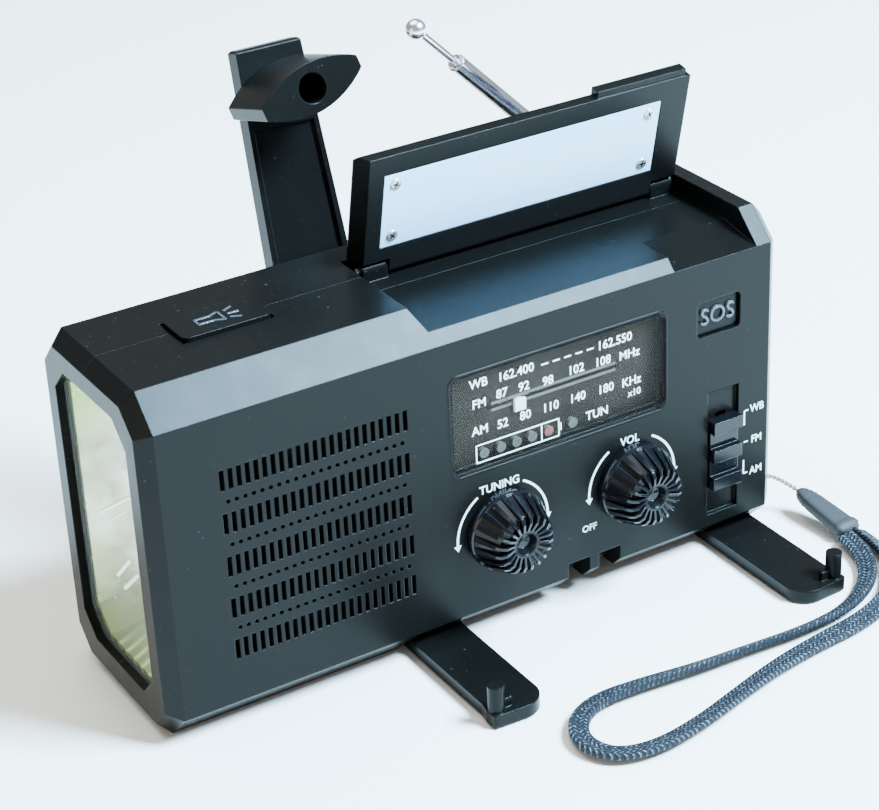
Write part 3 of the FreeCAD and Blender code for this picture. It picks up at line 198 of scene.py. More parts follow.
def diffuser_material():
    """Frosted pale blue sheet over the reading light, with the lamp strip faintly showing."""
    s = Surface("frosted_panel", (0.36, 0.66, 0.93), 0.34)
    flat = s.add("ShaderNodeSeparateXYZ", {0: lid_place(s)})
    strip = s.ramp(s.math("ABSOLUTE", s.math("ADD", flat.outputs[1], 0.0085)), 0.0015, 0.007, 1, 0)
    clouds = s.noise(0.02, 4)
    tint = s.mix(s.ramp(clouds, 0.3, 0.7), (0.34, 0.63, 0.92), (0.42, 0.69, 0.94))
    tint = s.mix(s.math("MULTIPLY", strip, 0.25), tint, (0.6, 0.8, 0.95))
    rough = s.ramp(s.noise(0.004, 5), 0.35, 0.65, 0.28, 0.42)
    rounded, _ = s.edges(0.0003)
    return s.finish(tint, rough, s.bump(s.noise(0.0003, 2), 0.00002, rounded, 0.4))


def window_material():
    """Smoky see-through window, slightly uneven in its shine."""
    s = Surface("smoky_window", (0.05, 0.04, 0.035), 0.1, Alpha=0.1, Specular_IOR_Level=0.05)
    rough = s.ramp(s.noise(0.02, 3), 0.3, 0.7, 0.08, 0.13)
    tint = s.mix(s.ramp(s.noise(0.02, 3), 0.3, 0.7), (0.035, 0.028, 0.024), (0.07, 0.057, 0.05))
    return s.finish(tint, rough)


def card_material():
    """Smooth dark brown card behind the dial window."""
    s = Surface("dial_card", (0.02, 0.015, 0.011), 0.6, Specular_IOR_Level=0.1)
    tint = s.mix(s.ramp(s.noise(0.02, 3), 0.3, 0.7), (0.015, 0.011, 0.008), (0.022, 0.016, 0.011))
    return s.finish(tint, s.ramp(s.noise(0.006, 3), 0.3, 0.7, 0.55, 0.68))


def lens_material():
    """Clear lamp window with faint moulding waves and dust."""
    s = Surface("lamp_window", (0.9, 0.93, 0.86), 0.05, Alpha=0.06, Specular_IOR_Level=0.25)
    dust = s.ramp(s.noise(0.0015, 6), 0.5, 0.8)
    rough = s.ramp(dust, 0, 1, 0.04, 0.3)
    return s.finish(None, rough, s.bump(s.noise(0.012, 2), 0.00012, None, 0.5))


def reflector_material():
    """Plated bowl: greenish yellow near the mouth, cream and grey further in, with shallow flutes."""
    s = Surface("reflector_plating", (0.78, 0.8, 0.58), 0.2, Metallic=0.55)
    axes = s.add("ShaderNodeSeparateXYZ", {0: s.place})
    flutes = s.math("SINE", s.math("MULTIPLY", axes.outputs[1], 2 * math.pi / 0.0042))
    waves = s.math("MULTIPLY", s.noise(0.011, 3), 0.007)
    depth = s.ramp(s.math("ADD", axes.outputs[0], waves), -0.0815, -0.071, 0.55, 1)
    middle = s.math("ABSOLUTE", s.math("SUBTRACT", s.math("ADD", axes.outputs[2], waves), 0.047))
    inward = s.math("MULTIPLY", depth, s.ramp(middle, 0.018, 0.03, 1, 0))
    inside = s.mix(s.ramp(s.noise(0.014, 4), 0.4, 0.6), (0.36, 0.29, 0.19), (0.8, 0.76, 0.64))
    tint = s.mix(inward, (0.36, 0.44, 0.1), inside)
    rough = s.ramp(s.noise(0.003, 4), 0.3, 0.7, 0.14, 0.3)
    return s.finish(tint, rough, s.bump(flutes, 0.0002, None, 0.5))


def board_material():
    """Green circuit board with copper tracks under the mask."""
    s = Surface("board", (0.02, 0.14, 0.05), 0.35)
    bricks = s.add("ShaderNodeTexBrick", {"Vector": s.place, "Scale": 260, "Mortar Size": 0.03})
    tint = s.mix(bricks.outputs["Fac"], (0.02, 0.14, 0.05), (0.05, 0.26, 0.09))
    rough = s.ramp(s.noise(0.004, 3), 0.3, 0.7, 0.28, 0.45)
    return s.finish(tint, rough, s.bump(bricks.outputs["Fac"], 0.00003))


def webbing_material():
    """Flat braid: black yarn in chevrons with pale blue-grey flecks where the weft shows."""
    s = Surface("webbing", (0.02, 0.02, 0.024), 0.75, Specular_IOR_Level=0.2)
    laid = s.add("ShaderNodeUVMap", uv_map="laid").outputs[0]
    axes = s.add("ShaderNodeSeparateXYZ", {0: laid})
    along, across = axes.outputs[0], axes.outputs[1]
    folded = s.math("PINGPONG", s.math("ADD", across, 0.1), 0.00125)
    chevron = s.math("SINE", s.math("MULTIPLY", s.math("ADD", along, s.math("MULTIPLY", folded, 1.1)),
                                    2 * math.pi / 0.0014))
    yarns = s.math("SINE", s.math("MULTIPLY", across, 2 * math.pi / 0.00125))
    uneven = s.noise(0.0011, 3)
    fuzz = s.noise(0.00025, 4)
    height = s.math("ADD", s.math("MULTIPLY", chevron, 0.7), s.math("MULTIPLY", yarns, 0.4))
    fleck = s.math("MULTIPLY", s.ramp(chevron, 0.4, 0.95), s.ramp(uneven, 0.4, 0.62, 0.02, 1.0))
    fleck = s.math("MULTIPLY", fleck, s.ramp(yarns, -0.7, 0.5, 0.15, 1))
    tint = s.mix(s.ramp(fuzz, 0.3, 0.7), (0.003, 0.0035, 0.006), (0.012, 0.014, 0.02))
    tint = s.mix(s.math("MULTIPLY", fleck, 0.8), tint, (0.19, 0.24, 0.29))
    return s.finish(tint, None, s.bump(s.math("ADD", height, s.math("MULTIPLY", fuzz, 0.6)), 0.00014))


def string_material():
    """Twisted olive-brass cord."""
    s = Surface("string_fibre", (0.3, 0.24, 0.11), 0.7, Sheen_Weight=0.3)
    fibres = s.noise(0.0002, 4, stretch=(1, 3, 3))
    tint = s.mix(fibres, (0.16, 0.12, 0.05), (0.48, 0.4, 0.22))
    return s.finish(tint, None, s.bump(fibres, 0.00008))


def ink_material(name, color):
    """Printed ink: slightly uneven coverage."""
    s = Surface(name, color, 0.5)
    cover = s.ramp(s.noise(0.0007, 3), 0.3, 0.75, 0, 0.3)
    return s.finish(s.mix(cover, color, tuple(c * 0.72 for c in color)), s.ramp(cover, 0, 0.3, 0.45, 0.6))


POLISHED = 0.000004
CASE = plastic("case_plastic", (0.003, 0.0029, 0.0026), 0.31, Specular_IOR_Level=0.09)
MATERIALS = {
    "case_plastic": CASE,
    "gloss_black": plastic("gloss_black", (0.003, 0.003, 0.004), 0.16, depth=POLISHED,
                           edge_radius=0.00025, edge_wear_and_highlight=0.1, Specular_IOR_Level=0.26),
    "clear_lens": lens_material(),
    "reflector": reflector_material(),
    "circuit_board": board_material(),
    "led": plastic("led_resin", (0.97, 0.96, 0.85), 0.08, depth=POLISHED,
                   Emission_Color=(1.0, 0.97, 0.85, 1), Emission_Strength=0.35),
    "smoky_window": window_material(),
    "dial_black": card_material(),
    # The pointer's paint glows a little though it is no lamp: painted light.
    "pointer_white": plastic("glowing_pointer_paint", (0.95, 0.95, 0.92), 0.35, edge_wear_and_highlight=0.1,
                             Emission_Color=(1, 1, 1, 1), Emission_Strength=0.25),
    "indicator": plastic("indicator_resin", (0.1, 0.095, 0.08), 0.4, Specular_IOR_Level=0.2),
    "steel": metal("bright_steel", (0.62, 0.62, 0.63), 0.24),
    "switch_body": plastic("switch_plastic", (0.03, 0.03, 0.032), 0.5),
    "paper": plastic("speaker_paper", (0.02, 0.02, 0.021), 0.85, grain=0.0005, depth=0.0001),
    "ferrite": plastic("ferrite_body", (0.05, 0.05, 0.052), 0.65),
    "solar_cell": solar_material(),
    "diffuser": diffuser_material(),
    "brass": metal("brass_bush", (0.7, 0.52, 0.22), 0.3),
    "gear_nylon": plastic("gear_nylon", (0.75, 0.74, 0.7), 0.45),
    "battery_wrap": plastic("battery_wrap", (0.03, 0.14, 0.42), 0.28),
    "copper_wire": metal("enamelled_wire", (0.6, 0.26, 0.1), 0.35),
    "rubber": plastic("soft_rubber", (0.014, 0.014, 0.015), 0.7, grain=0.0004, edge_wear_and_highlight=0.2),
    "chrome": metal("chrome_plate", (0.86, 0.87, 0.9), 0.1),
    "string": string_material(),
    "strap_webbing": webbing_material(),
}
# Dark finish for the speaker frame: painted shade behind the grille.
SPEAKER_FRAME_SHADE = plastic("speaker_frame_painted_shade", (0.012, 0.012, 0.013), 0.45)
WHITE = ink_material("white_ink", (0.86, 0.87, 0.86))
TRACK = ink_material("track_ink", (0.13, 0.115, 0.095))
RIM = ink_material("pale_rim", (0.1, 0.095, 0.085))
RED = plastic("red_lens", (0.42, 0.03, 0.025), 0.25, depth=POLISHED)
# Lighter than the key plastic: a painted highlight on raised letters and icons.
RAISED_HIGHLIGHT = plastic("raised_letters_painted_highlight", (0.035, 0.045, 0.052), 0.28, depth=POLISHED)
# Glowing white for the painted reflections of the LEDs in the lamp's bowl.
LED_GLINT_PAINT = plastic("painted_led_glint", (0.98, 0.98, 0.95), 0.1, depth=POLISHED,
                Emission_Color=(1.0, 0.99, 0.95, 1), Emission_Strength=1.2)

SLOT_OF = {part["node"]: part["material_slot"] for part in RECORD["subparts"]}
for node_name, node in NODES.items():
    for material_slot in node.material_slots:
        material_slot.material = MATERIALS[SLOT_OF[node_name]]
# The speaker frame is darkened as painted shade, so the grille's slots read dark instead of showing the
# record's steel.
for material_slot in NODES["speaker_frame"].material_slots:
    material_slot.material = SPEAKER_FRAME_SHADE


# ---------------------------------------------------------------- mesh helpers

def piece(name, mesh, body, slot, material=None, smooth=False):
    """A new shown object that rides on a body, with the given material, or else the finish of that record
    slot.
    """
    made = bpy.data.objects.new(name, mesh)
    bpy.context.scene.collection.objects.link(made)
    mesh.materials.clear()
    mesh.materials.append(material or MATERIALS[slot])
    for face in mesh.polygons:
        face.use_smooth = smooth
    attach(made, body)
    return made


def mesh_from(name, build):
    """A mesh filled by build(bm), with its faces turned outwards."""
    mesh = bpy.data.meshes.new(name)
    bm = bmesh.new()
    build(bm)
    bmesh.ops.recalc_face_normals(bm, faces=bm.faces)
    bm.to_mesh(mesh)
    bm.free()
    return mesh


def join_rings(bm, rings):
    """Faces between each closed ring of vertices and the next."""
    for first, second in zip(rings, rings[1:]):
        for k in range(len(first)):
            bm.faces.new((first[k - 1], first[k], second[k], second[k - 1]))


# ---------------------------------------------------------------- camera, floor and light

AZIMUTH, ELEVATION, ROLL = math.radians(-30.22), math.radians(28.19), math.radians(-2.76)
CAMERA_DISTANCE = 0.6153
LOOK_AT = Vector((0.0036, 0, 0.0523))
SENSOR_WIDTH, FOCAL_LENGTH = 36, 99.64505
LIT_POINT = Vector((0, 0, 0.05))


def make_camera():
    """The photograph's viewing angle, with its slight tilt."""
    back = Vector((math.sin(AZIMUTH) * math.cos(ELEVATION), -math.cos(AZIMUTH) * math.cos(ELEVATION),
                   math.sin(ELEVATION)))
    right = Vector((math.cos(AZIMUTH), math.sin(AZIMUTH), 0))
    up = back.cross(right)
    turned_right = right * math.cos(ROLL) + up * math.sin(ROLL)
    turned_up = up * math.cos(ROLL) - right * math.sin(ROLL)
    camera = bpy.data.objects.new("camera", bpy.data.cameras.new("camera"))
    camera.data.sensor_width = SENSOR_WIDTH
    camera.data.lens = FOCAL_LENGTH
    camera.data.clip_start = 0.02
    camera.matrix_world = Matrix.Translation(LOOK_AT + back * CAMERA_DISTANCE) @ Matrix(
        (turned_right, turned_up, back)).transposed().to_4x4()
    bpy.context.scene.collection.objects.link(camera)
    bpy.context.scene.camera = camera


def area_light(name, toward, distance, width, power, color):
    """A soft light on that side of the radio, facing it."""
    light = bpy.data.lights.new(name, "AREA")
    light.shape = "DISK"
    light.size = width
    light.energy = power
    light.color = color
    lamp = bpy.data.objects.new(name, light)
    direction = Vector(toward).normalized()
    lamp.location = LIT_POINT + direction * distance
    lamp.rotation_mode = "QUATERNION"
    lamp.rotation_quaternion = direction.to_track_quat("Z", "Y")
    bpy.context.scene.collection.objects.link(lamp)


def make_studio():
    """A plain pale floor a hair under the radio, an even sky and three soft lights."""
    floor = bpy.data.objects.new("floor", mesh_from("floor", lambda bm: bmesh.ops.create_grid(
        bm, x_segments=1, y_segments=1, size=4)))
    floor.location.z = -0.0001
    bpy.context.scene.collection.objects.link(floor)
    s = Surface("floor_paint", (0.98, 0.92, 0.87), 0.85)
    floor.data.materials.append(s.finish(s.mix(s.noise(0.4, 3), (0.97, 0.91, 0.85), (0.99, 0.93, 0.87))))
    world = bpy.data.worlds.new("studio")
    world.use_nodes = True
    background = world.node_tree.nodes["Background"]
    background.inputs[0].default_value = (0.9, 0.93, 0.94, 1)
    background.inputs[1].default_value = 0.5
    bpy.context.scene.world = world
    area_light("window_light", toward=(0.44, -0.47, 0.76), distance=1.3, width=0.5, power=190,
               color=(0.46, 0.76, 1.0))
    area_light("top_light", toward=(-0.1, 0.35, 1.0), distance=1.5, width=1.4, power=30,
               color=(0.9, 0.98, 1.0))
    area_light("left_light", toward=(-1.0, -0.2, 0.25), distance=1.2, width=0.5, power=2.5,
               color=(1.0, 0.86, 0.5))


# ---------------------------------------------------------------- lanyard

STRAP_ROUTE = [
    (99.3, -46, 2.6), (98.6, -53, 2.4), (94.5, -61.5, 2.1), (87, -68.5, 2.1), (77, -73, 2.1),
    (63, -74, 2.1), (47, -72.8, 2.1), (31.5, -72, 2.1), (16, -70, 2.1), (4, -69.5, 2.1),
    (-4, -72.5, 2.1), (-8.8, -78.5, 2.1), (-9, -85, 2.1), (-5, -90.8, 2.1), (4.8, -93, 2.1),
    (18.4, -91, 2.1), (33.7, -86.6, 2.1), (47, -83, 2.1), (62, -80.6, 2.1), (77, -79.4, 2.1),
    (90, -75, 2.1), (98.8, -67, 2.1), (103.6, -57, 2.4), (103.8, -46.2, 2.6)]
STRING_ROUTE = [(89.5, -20, 12), (93, -20.4, 11.4), (97, -22.4, 9.2), (100, -26, 6.4)]
SLEEVE_END = (101.6, -45.4, 3)

STRAP_STEP, STRING_STEP = 0.00028, 0.00018
STRAP_HALF_WIDTH, STRAP_HALF_THICKNESS = 0.0025, 0.00085
WEFT_HEIGHT, WEFT_PITCH = 0.00007, 0.0011
STRAP_TOP = ((-1, 0.35), (-0.93, 0.85), (-0.8, 0.95), (-0.45, 0.8), (0, 0.78), (0.45, 0.8), (0.8, 0.95),
             (0.93, 0.85), (1, 0.35))
STRAP_OUTLINE = STRAP_TOP + tuple((-a, -b) for a, b in STRAP_TOP)
STRAND_RADIUS, STRAND_OFFSET, TWIST_PITCH = 0.00036, 0.00033, 0.0026
SLEEVE_RINGS, SLEEVE_SIDES, SLEEVE_RIB_PITCH = 40, 24, 0.0013


def smooth_line(name, route):
    """The points down the middle of a smooth cord through that route."""
    data = bpy.data.curves.new(name, "CURVE")
    data.dimensions = "3D"
    spline = data.splines.new("NURBS")
    spline.points.add(len(route) - 1)
    for point, place in zip(spline.points, route):
        point.co = (*(value * MM for value in place), 1)
    spline.order_u = 3
    spline.use_endpoint_u = True
    spline.resolution_u = 24
    holder = bpy.data.objects.new(name, data)
    mesh = bpy.data.meshes.new_from_object(holder)
    line = [vertex.co.copy() for vertex in mesh.vertices]
    bpy.data.objects.remove(holder)
    bpy.data.curves.remove(data)
    bpy.data.meshes.remove(mesh)
    return line


def evenly(line, step):
    """The same line with points a fixed step apart."""
    lengths = [0.0]
    for before, after in zip(line, line[1:]):
        lengths.append(lengths[-1] + (after - before).length)
    count = max(2, round(lengths[-1] / step))
    points, index = [], 0
    for i in range(count + 1):
        wanted = lengths[-1] * i / count
        while index < len(line) - 2 and lengths[index + 1] < wanted:
            index += 1
        share = (wanted - lengths[index]) / max(lengths[index + 1] - lengths[index], 1e-9)
        points.append(line[index].lerp(line[index + 1], share))
    return points, lengths[-1]


def sweep(bm, line, section, uv=None):
    """A closed tube along the line.

    section(along) gives its outline there, as (across, upright) points in metres.
    """
    rings, along = [], 0.0
    for i, centre in enumerate(line):
        if i:
            along += (centre - line[i - 1]).length
        heading = (line[min(i + 1, len(line) - 1)] - line[max(i - 1, 0)]).normalized()
        across = Vector((0, 0, 1)).cross(heading).normalized()
        upright = heading.cross(across)
        ring = []
        for a, b in section(along):
            vertex = bm.verts.new(centre + across * a + upright * b)
            ring.append((vertex, along, a))
        rings.append(ring)
    for before, after in zip(rings, rings[1:]):
        for j in range(len(before)):
            corners = [before[j - 1], before[j], after[j], after[j - 1]]
            face = bm.faces.new([corner[0] for corner in corners])
            if uv:
                for loop, corner in zip(face.loops, corners):
                    loop[uv].uv = (corner[1], corner[2])
    for ring in (rings[0], rings[-1]):
        bm.faces.new([vertex for vertex, _, _ in ring])


def flat_section(along):
    """The strap's section: flat webbing with thick selvedges, rolled a little, ribbed by its weft."""
    rib = WEFT_HEIGHT * math.sin(2 * math.pi * along / WEFT_PITCH)
    roll = math.radians(26) * math.sin(along * 28) + math.radians(8)
    points = []
    for a, b in STRAP_OUTLINE:
        x = a * STRAP_HALF_WIDTH
        y = b * STRAP_HALF_THICKNESS + math.copysign(rib, b) * (1 - 0.5 * abs(a))
        points.append((x * math.cos(roll) - y * math.sin(roll), x * math.sin(roll) + y * math.cos(roll)))
    return points


def make_strap():
    """The flat braided loop, with its middle line and length."""
    line, length = evenly(smooth_line("strap_line", STRAP_ROUTE), STRAP_STEP)
    mesh = mesh_from("wrist_strap", lambda bm: sweep(bm, line, flat_section,
                                                     uv=bm.loops.layers.uv.new("laid")))
    strap = piece("wrist_strap", mesh, "case", "strap_webbing", smooth=True)
    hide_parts("lanyard_strap")
    return strap, line, length


def strand_section(phase):
    """The section of one strand of the string, which starts its twist at that phase."""
    def section(along):
        turn = 2 * math.pi * along / TWIST_PITCH + phase
        middle = (STRAND_OFFSET * math.cos(turn), STRAND_OFFSET * math.sin(turn))
        return [(middle[0] + STRAND_RADIUS * math.cos(k * math.pi / 4),
                 middle[1] + STRAND_RADIUS * math.sin(k * math.pi / 4)) for k in range(8)]
    return section


def make_string():
    """Two twisted strands from the case's bar to the sleeve."""
    line, _ = evenly(smooth_line("string_line", STRING_ROUTE), STRING_STEP)

    def build(bm):
        for phase in (0, math.pi):
            sweep(bm, line, strand_section(phase))

    made = piece("wrist_string", mesh_from("wrist_string", build), "case", "string", smooth=True)
    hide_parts("lanyard_string")
    return made


def soft_rectangle(half_width, half_height):
    """Points round a rectangle with very round corners."""
    points = []
    for k in range(SLEEVE_SIDES):
        angle = 2 * math.pi * k / SLEEVE_SIDES
        c, s = math.cos(angle), math.sin(angle)
        points.append((half_width * math.copysign(abs(c) ** 0.6, c),
                       half_height * math.copysign(abs(s) ** 0.6, s)))
    return points


def make_sleeve():
    """Soft moulded sleeve: ribbed neck at the string, swelling to a flat mouth for the strap."""
    start, end = Vector(STRING_ROUTE[-1]) * MM, Vector(SLEEVE_END) * MM
    line = [start.lerp(end, i / SLEEVE_RINGS) for i in range(SLEEVE_RINGS + 1)]
    length = (end - start).length

    def section(along):
        share = along / length
        swell = math.sin(min(1, share / 0.22) * math.pi / 2)
        half_width = (1.4 + 1.2 * swell + 1.1 * share) * MM
        half_height = (1.35 + 0.55 * swell) * MM
        in_lip, in_ribs, at_an_end = 0.86 < share <= 0.97, 0.05 < share < 0.3, not 0.04 <= share <= 0.97
        if in_lip:
            half_width += 0.35 * MM
            half_height += 0.25 * MM
        if in_ribs:
            rib = 1 - 0.09 * (0.5 - 0.5 * math.cos(2 * math.pi * along / SLEEVE_RIB_PITCH))
            half_width *= rib
            half_height *= rib
        if at_an_end:
            half_width *= 0.9
            half_height *= 0.88
        return soft_rectangle(half_width, half_height)

    made = piece("strap_sleeve", mesh_from("strap_sleeve", lambda bm: sweep(bm, line, section)), "case",
                 "rubber", smooth=True)
    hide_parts("lanyard_sleeve")
    return made


# ---------------------------------------------------------------- printing

WINDOW_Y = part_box("dial_window")[0].y
INK_DEPTH = 0.00004
LETTER_SWELL = 0.00004
CURVE_STEPS = 24
ARROW_LENGTH, ARROW_FLARE = 1.7, 0.62


def add_text(bm, text, x, z, size, face_y, squeeze=1.0, depth=INK_DEPTH):
    """Generic lettering as thin raised ink on a plane facing the front."""
    data = bpy.data.curves.new("lettering", "FONT")
    data.body, data.size = text, size * MM
    data.align_x, data.align_y = "CENTER", "CENTER"
    data.extrude, data.resolution_u = depth / 2, 3
    data.offset = LETTER_SWELL
    holder = bpy.data.objects.new("lettering", data)
    mesh = bpy.data.meshes.new_from_object(holder)
    mesh.transform(Matrix.Translation((x * MM, face_y - depth / 2, z * MM))
                   @ Matrix.Rotation(math.pi / 2, 4, "X") @ Matrix.Diagonal((squeeze, 1, 1, 1)))
    bm.from_mesh(mesh)
    bpy.data.objects.remove(holder)
    bpy.data.curves.remove(data)
    bpy.data.meshes.remove(mesh)


def add_slab(bm, outline, face_y, depth=INK_DEPTH):
    """A thin flat plate with that outline, given as (x, z) in millimetres."""
    front = [bm.verts.new((x * MM, face_y - depth, z * MM)) for x, z in outline]
    rear = [bm.verts.new((x * MM, face_y, z * MM)) for x, z in outline]
    bm.faces.new(front)
    bm.faces.new(rear[::-1])
    for i in range(len(outline)):
        bm.faces.new((front[i - 1], rear[i - 1], rear[i], front[i]))


def add_bar(bm, start, end, width, face_y):
    """A straight printed stroke between two (x, z) points."""
    a, b = Vector(start), Vector(end)
    side = (b - a).normalized().orthogonal() * (width / 2)
    add_slab(bm, [a + side, b + side, b - side, a - side], face_y)


def add_arc(bm, centre, radius, first, last, width, face_y):
    """A curved printed stroke, angles in degrees from +X towards +Z."""
    outer, inner = [], []
    for i in range(CURVE_STEPS + 1):
        angle = math.radians(first + (last - first) * i / CURVE_STEPS)
        for ring, distance in ((outer, radius + width / 2), (inner, radius - width / 2)):
            ring.append((centre[0] + distance * math.cos(angle), centre[1] + distance * math.sin(angle)))
    for i in range(CURVE_STEPS):
        add_slab(bm, [outer[i], outer[i + 1], inner[i + 1], inner[i]], face_y)


def add_arrow(bm, centre, radius, angle, sense, face_y):
    """An arrow head at the end of a curved stroke; sense is 1 towards growing angles, or -1."""
    a = math.radians(angle)
    tip = Vector((centre[0] + radius * math.cos(a), centre[1] + radius * math.sin(a)))
    heading = Vector((-math.sin(a), math.cos(a))) * sense
    side = heading.orthogonal() * ARROW_LENGTH * ARROW_FLARE
    add_slab(bm, [tip + heading * ARROW_LENGTH, tip + side, tip - side], face_y)


def dial_printing(bm):
    """Band names, frequencies and the box for the tuning lamps, on the window."""
    y = WINDOW_Y
    for text, x, z in (("WB", -1.5, 71.8), ("162.400", 9.2, 71.5), ("162.550", 38.3, 71.2),
                       ("FM", -1.5, 66.3), ("87", 5.0, 67.1), ("92", 11.4, 67.0), ("98", 18.4, 66.4),
                       ("102", 26.7, 67.0),
                       ("108", 34.7, 66.8), ("MHz", 42.7, 66.4), ("AM", -1.5, 59.0), ("52", 5.0, 58.8),
                       ("80", 11.6, 59.0), ("110", 19.0, 59.0), ("140", 27.0, 59.1), ("180", 35.5, 58.9),
                       ("KHz", 43.3, 58.6), ("x10", 44.2, 55.2), ("TUN", 32.8, 52.8)):
        add_text(bm, text, x, z, 2.7 if text == "x10" else 3.4, y, 0.96)
    for i in range(5):
        add_bar(bm, (16.6 + 3.35 * i, 71.3), (18.6 + 3.35 * i, 71.3), 0.4, y)
    low, high, left, right = 50.2, 55.0, -2.8, 21.3
    for start, end in (((left, low), (right, low)), ((left, high), (right, high)),
                       ((left, low), (left, high)), ((right, low), (right, high)),
                       ((right + 0.6, 51.6), (right + 0.6, 53.7)), ((16.2, low), (16.2, high))):
        add_bar(bm, start, end, 0.35, y)


def track_printing(bm):
    """A paler band either side of the pointer's slot, and a strip behind the card along that slot."""
    low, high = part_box("dial_plate")
    left, right = 4.2, 41.0
    for z in (62.9, 61.1):
        add_bar(bm, (left, z), (right, z), 0.75, low.y)
    add_bar(bm, (left, 61.1), (right, 61.1), 1.2, high.y + 0.0002)


def add_ring(bm, centre, inner, outer, face_y, depth):
    """A flat ring facing the front."""
    rings = []
    for radius, y in ((inner, face_y), (inner, face_y - depth), (outer, face_y - depth), (outer, face_y)):
        rings.append([bm.verts.new(((centre[0] + radius * math.cos(2 * math.pi * k / CURVE_STEPS)) * MM, y,
                                    (centre[1] + radius * math.sin(2 * math.pi * k / CURVE_STEPS)) * MM))
                      for k in range(CURVE_STEPS)])
    join_rings(bm, rings)


INDICATORS_X = (0.9, 5.8, 10.4, 15.0, 19.9, 27.1)
RED_LAMP_X = INDICATORS_X[4]
INDICATOR_Z = 50.9
WINDOW_CORNER = 2.2 * MM
KNOB_ARC_RADIUS = 13.3


def indicator_rings(bm):
    """Thin pale rims around the charge and tuning lamps."""
    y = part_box("indicator_lamps")[0].y
    for x in INDICATORS_X:
        add_ring(bm, (x, INDICATOR_Z), 1.0, 1.35, y, 0.00008)


def red_lamp(bm):
    """The low-battery lamp's red face."""
    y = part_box("indicator_lamps")[0].y
    outline = [(RED_LAMP_X + math.cos(math.pi * k / 10), INDICATOR_Z + math.sin(math.pi * k / 10))
               for k in range(20)]
    add_slab(bm, outline, y, 0.00006)


def window_rim(bm):
    """The bevelled lip around the dial window, catching the light."""
    low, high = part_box("dial_window")
    corners = ((high.x, high.z, 1, 1, 0), (low.x, high.z, -1, 1, 90),
               (low.x, low.z, -1, -1, 180), (high.x, low.z, 1, -1, 270))
    rings = []
    for grow, proud in ((0.05, -0.05), (0.15, 0.15), (0.65, 0.18), (0.8, -0.02)):
        radius, y = WINDOW_CORNER + grow * MM, FACE_Y - proud * MM
        ring = []
        for x, z, x_sense, z_sense, first_angle in corners:
            for k in range(7):
                angle = math.radians(first_angle + 15 * k)
                ring.append(bm.verts.new((x - WINDOW_CORNER * x_sense + radius * math.cos(angle), y,
                                          z - WINDOW_CORNER * z_sense + radius * math.sin(angle))))
        rings.append(ring)
    join_rings(bm, rings)


def knob_printing(bm):
    """A word and two curved arrows round each knob."""
    for centre, label, place in (((3.9, 29.5), "TUNING", (3.3, 42.2)), ((43.1, 29.5), "VOL", (42.5, 42.1))):
        add_text(bm, label, *place, 3.2, FACE_Y, 0.95)
        for first, last, arrow_at, sense in ((122, 182, 182, 1), (0, 62, 0, -1)):
            add_arc(bm, centre, KNOB_ARC_RADIUS, first, last, 0.6, FACE_Y)
            add_arrow(bm, centre, KNOB_ARC_RADIUS, arrow_at, sense, FACE_Y)
    add_text(bm, "OFF", 29.8, 20.6, 2.7, FACE_Y, 0.95)


def band_printing(bm):
    """The three bands beside the slider, joined by a thin bracket."""
    for label, z in (("WB", 38.8), ("FM", 29.5), ("AM", 20.1)):
        add_text(bm, label, 83.1, z, 3.1, FACE_Y, 0.92)
        add_bar(bm, (79.0, z), (80.3, z), 0.4, FACE_Y)
    for start, end in ((38.8, 34.6), (20.1, 24.1)):
        add_bar(bm, (79.0, start), (79.0, end), 0.4, FACE_Y)


def key_lettering(bm):
    """Raised letters on the alarm key, coloured lighter than the key as a painted highlight."""
    low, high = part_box("sos_button")
    middle = (low + high) / 2
    add_text(bm, "SOS", middle.x / MM, middle.z / MM, 6.4, low.y, 0.98, 0.0006)


def lamp_icon(bm):
    """A small torch with rays, raised on the lamp key and coloured lighter than it as a painted highlight.
    """
    low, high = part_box("lamp_button")
    middle_x, middle_y, top = (low.x + high.x) / 2, (low.y + high.y) / 2, high.z
    strokes = [((-5.5, -1.5), (-1.5, -1.5)), ((-1.5, -1.5), (1.0, -2.6)), ((1.0, -2.6), (1.0, 2.2)),
               ((1.0, 2.2), (-1.5, 1.1)), ((-1.5, 1.1), (-5.5, 1.1)), ((-5.5, 1.1), (-5.5, -1.5)),
               ((2.6, -0.2), (5.6, -0.2)), ((2.4, 1.6), (5.0, 2.9)), ((2.4, -2.0), (5.0, -3.3))]
    for start, end in strokes:
        a, b = Vector(start) * MM, Vector(end) * MM
        side = (b - a).normalized().orthogonal() * 0.0003
        corners = (a + side, b + side, b - side, a - side)
        lower = [bm.verts.new((middle_x + p.x, middle_y + p.y, top - 0.00005)) for p in corners]
        upper = [bm.verts.new((v.co.x, v.co.y, top + 0.0002)) for v in lower]
        bm.faces.new(upper)
        join_rings(bm, (lower, upper))


def cross_head(bm, place, radius, height, turn):
    """A pan screw head, made facing -Z at the origin and then placed; height is a share of the usual one."""
    rings = []
    for r, z in ((1.0, 0.0), (1.0, -0.1), (0.93, -0.22), (0.75, -0.3), (0.45, -0.33)):
        angles = [math.radians(turn) + 2 * math.pi * k / CURVE_STEPS for k in range(CURVE_STEPS)]
        rings.append([bm.verts.new(place @ Vector((radius * r * math.cos(a), radius * r * math.sin(a),
                                                   radius * z * height))) for a in angles])
    join_rings(bm, rings)
    bm.faces.new(rings[-1])


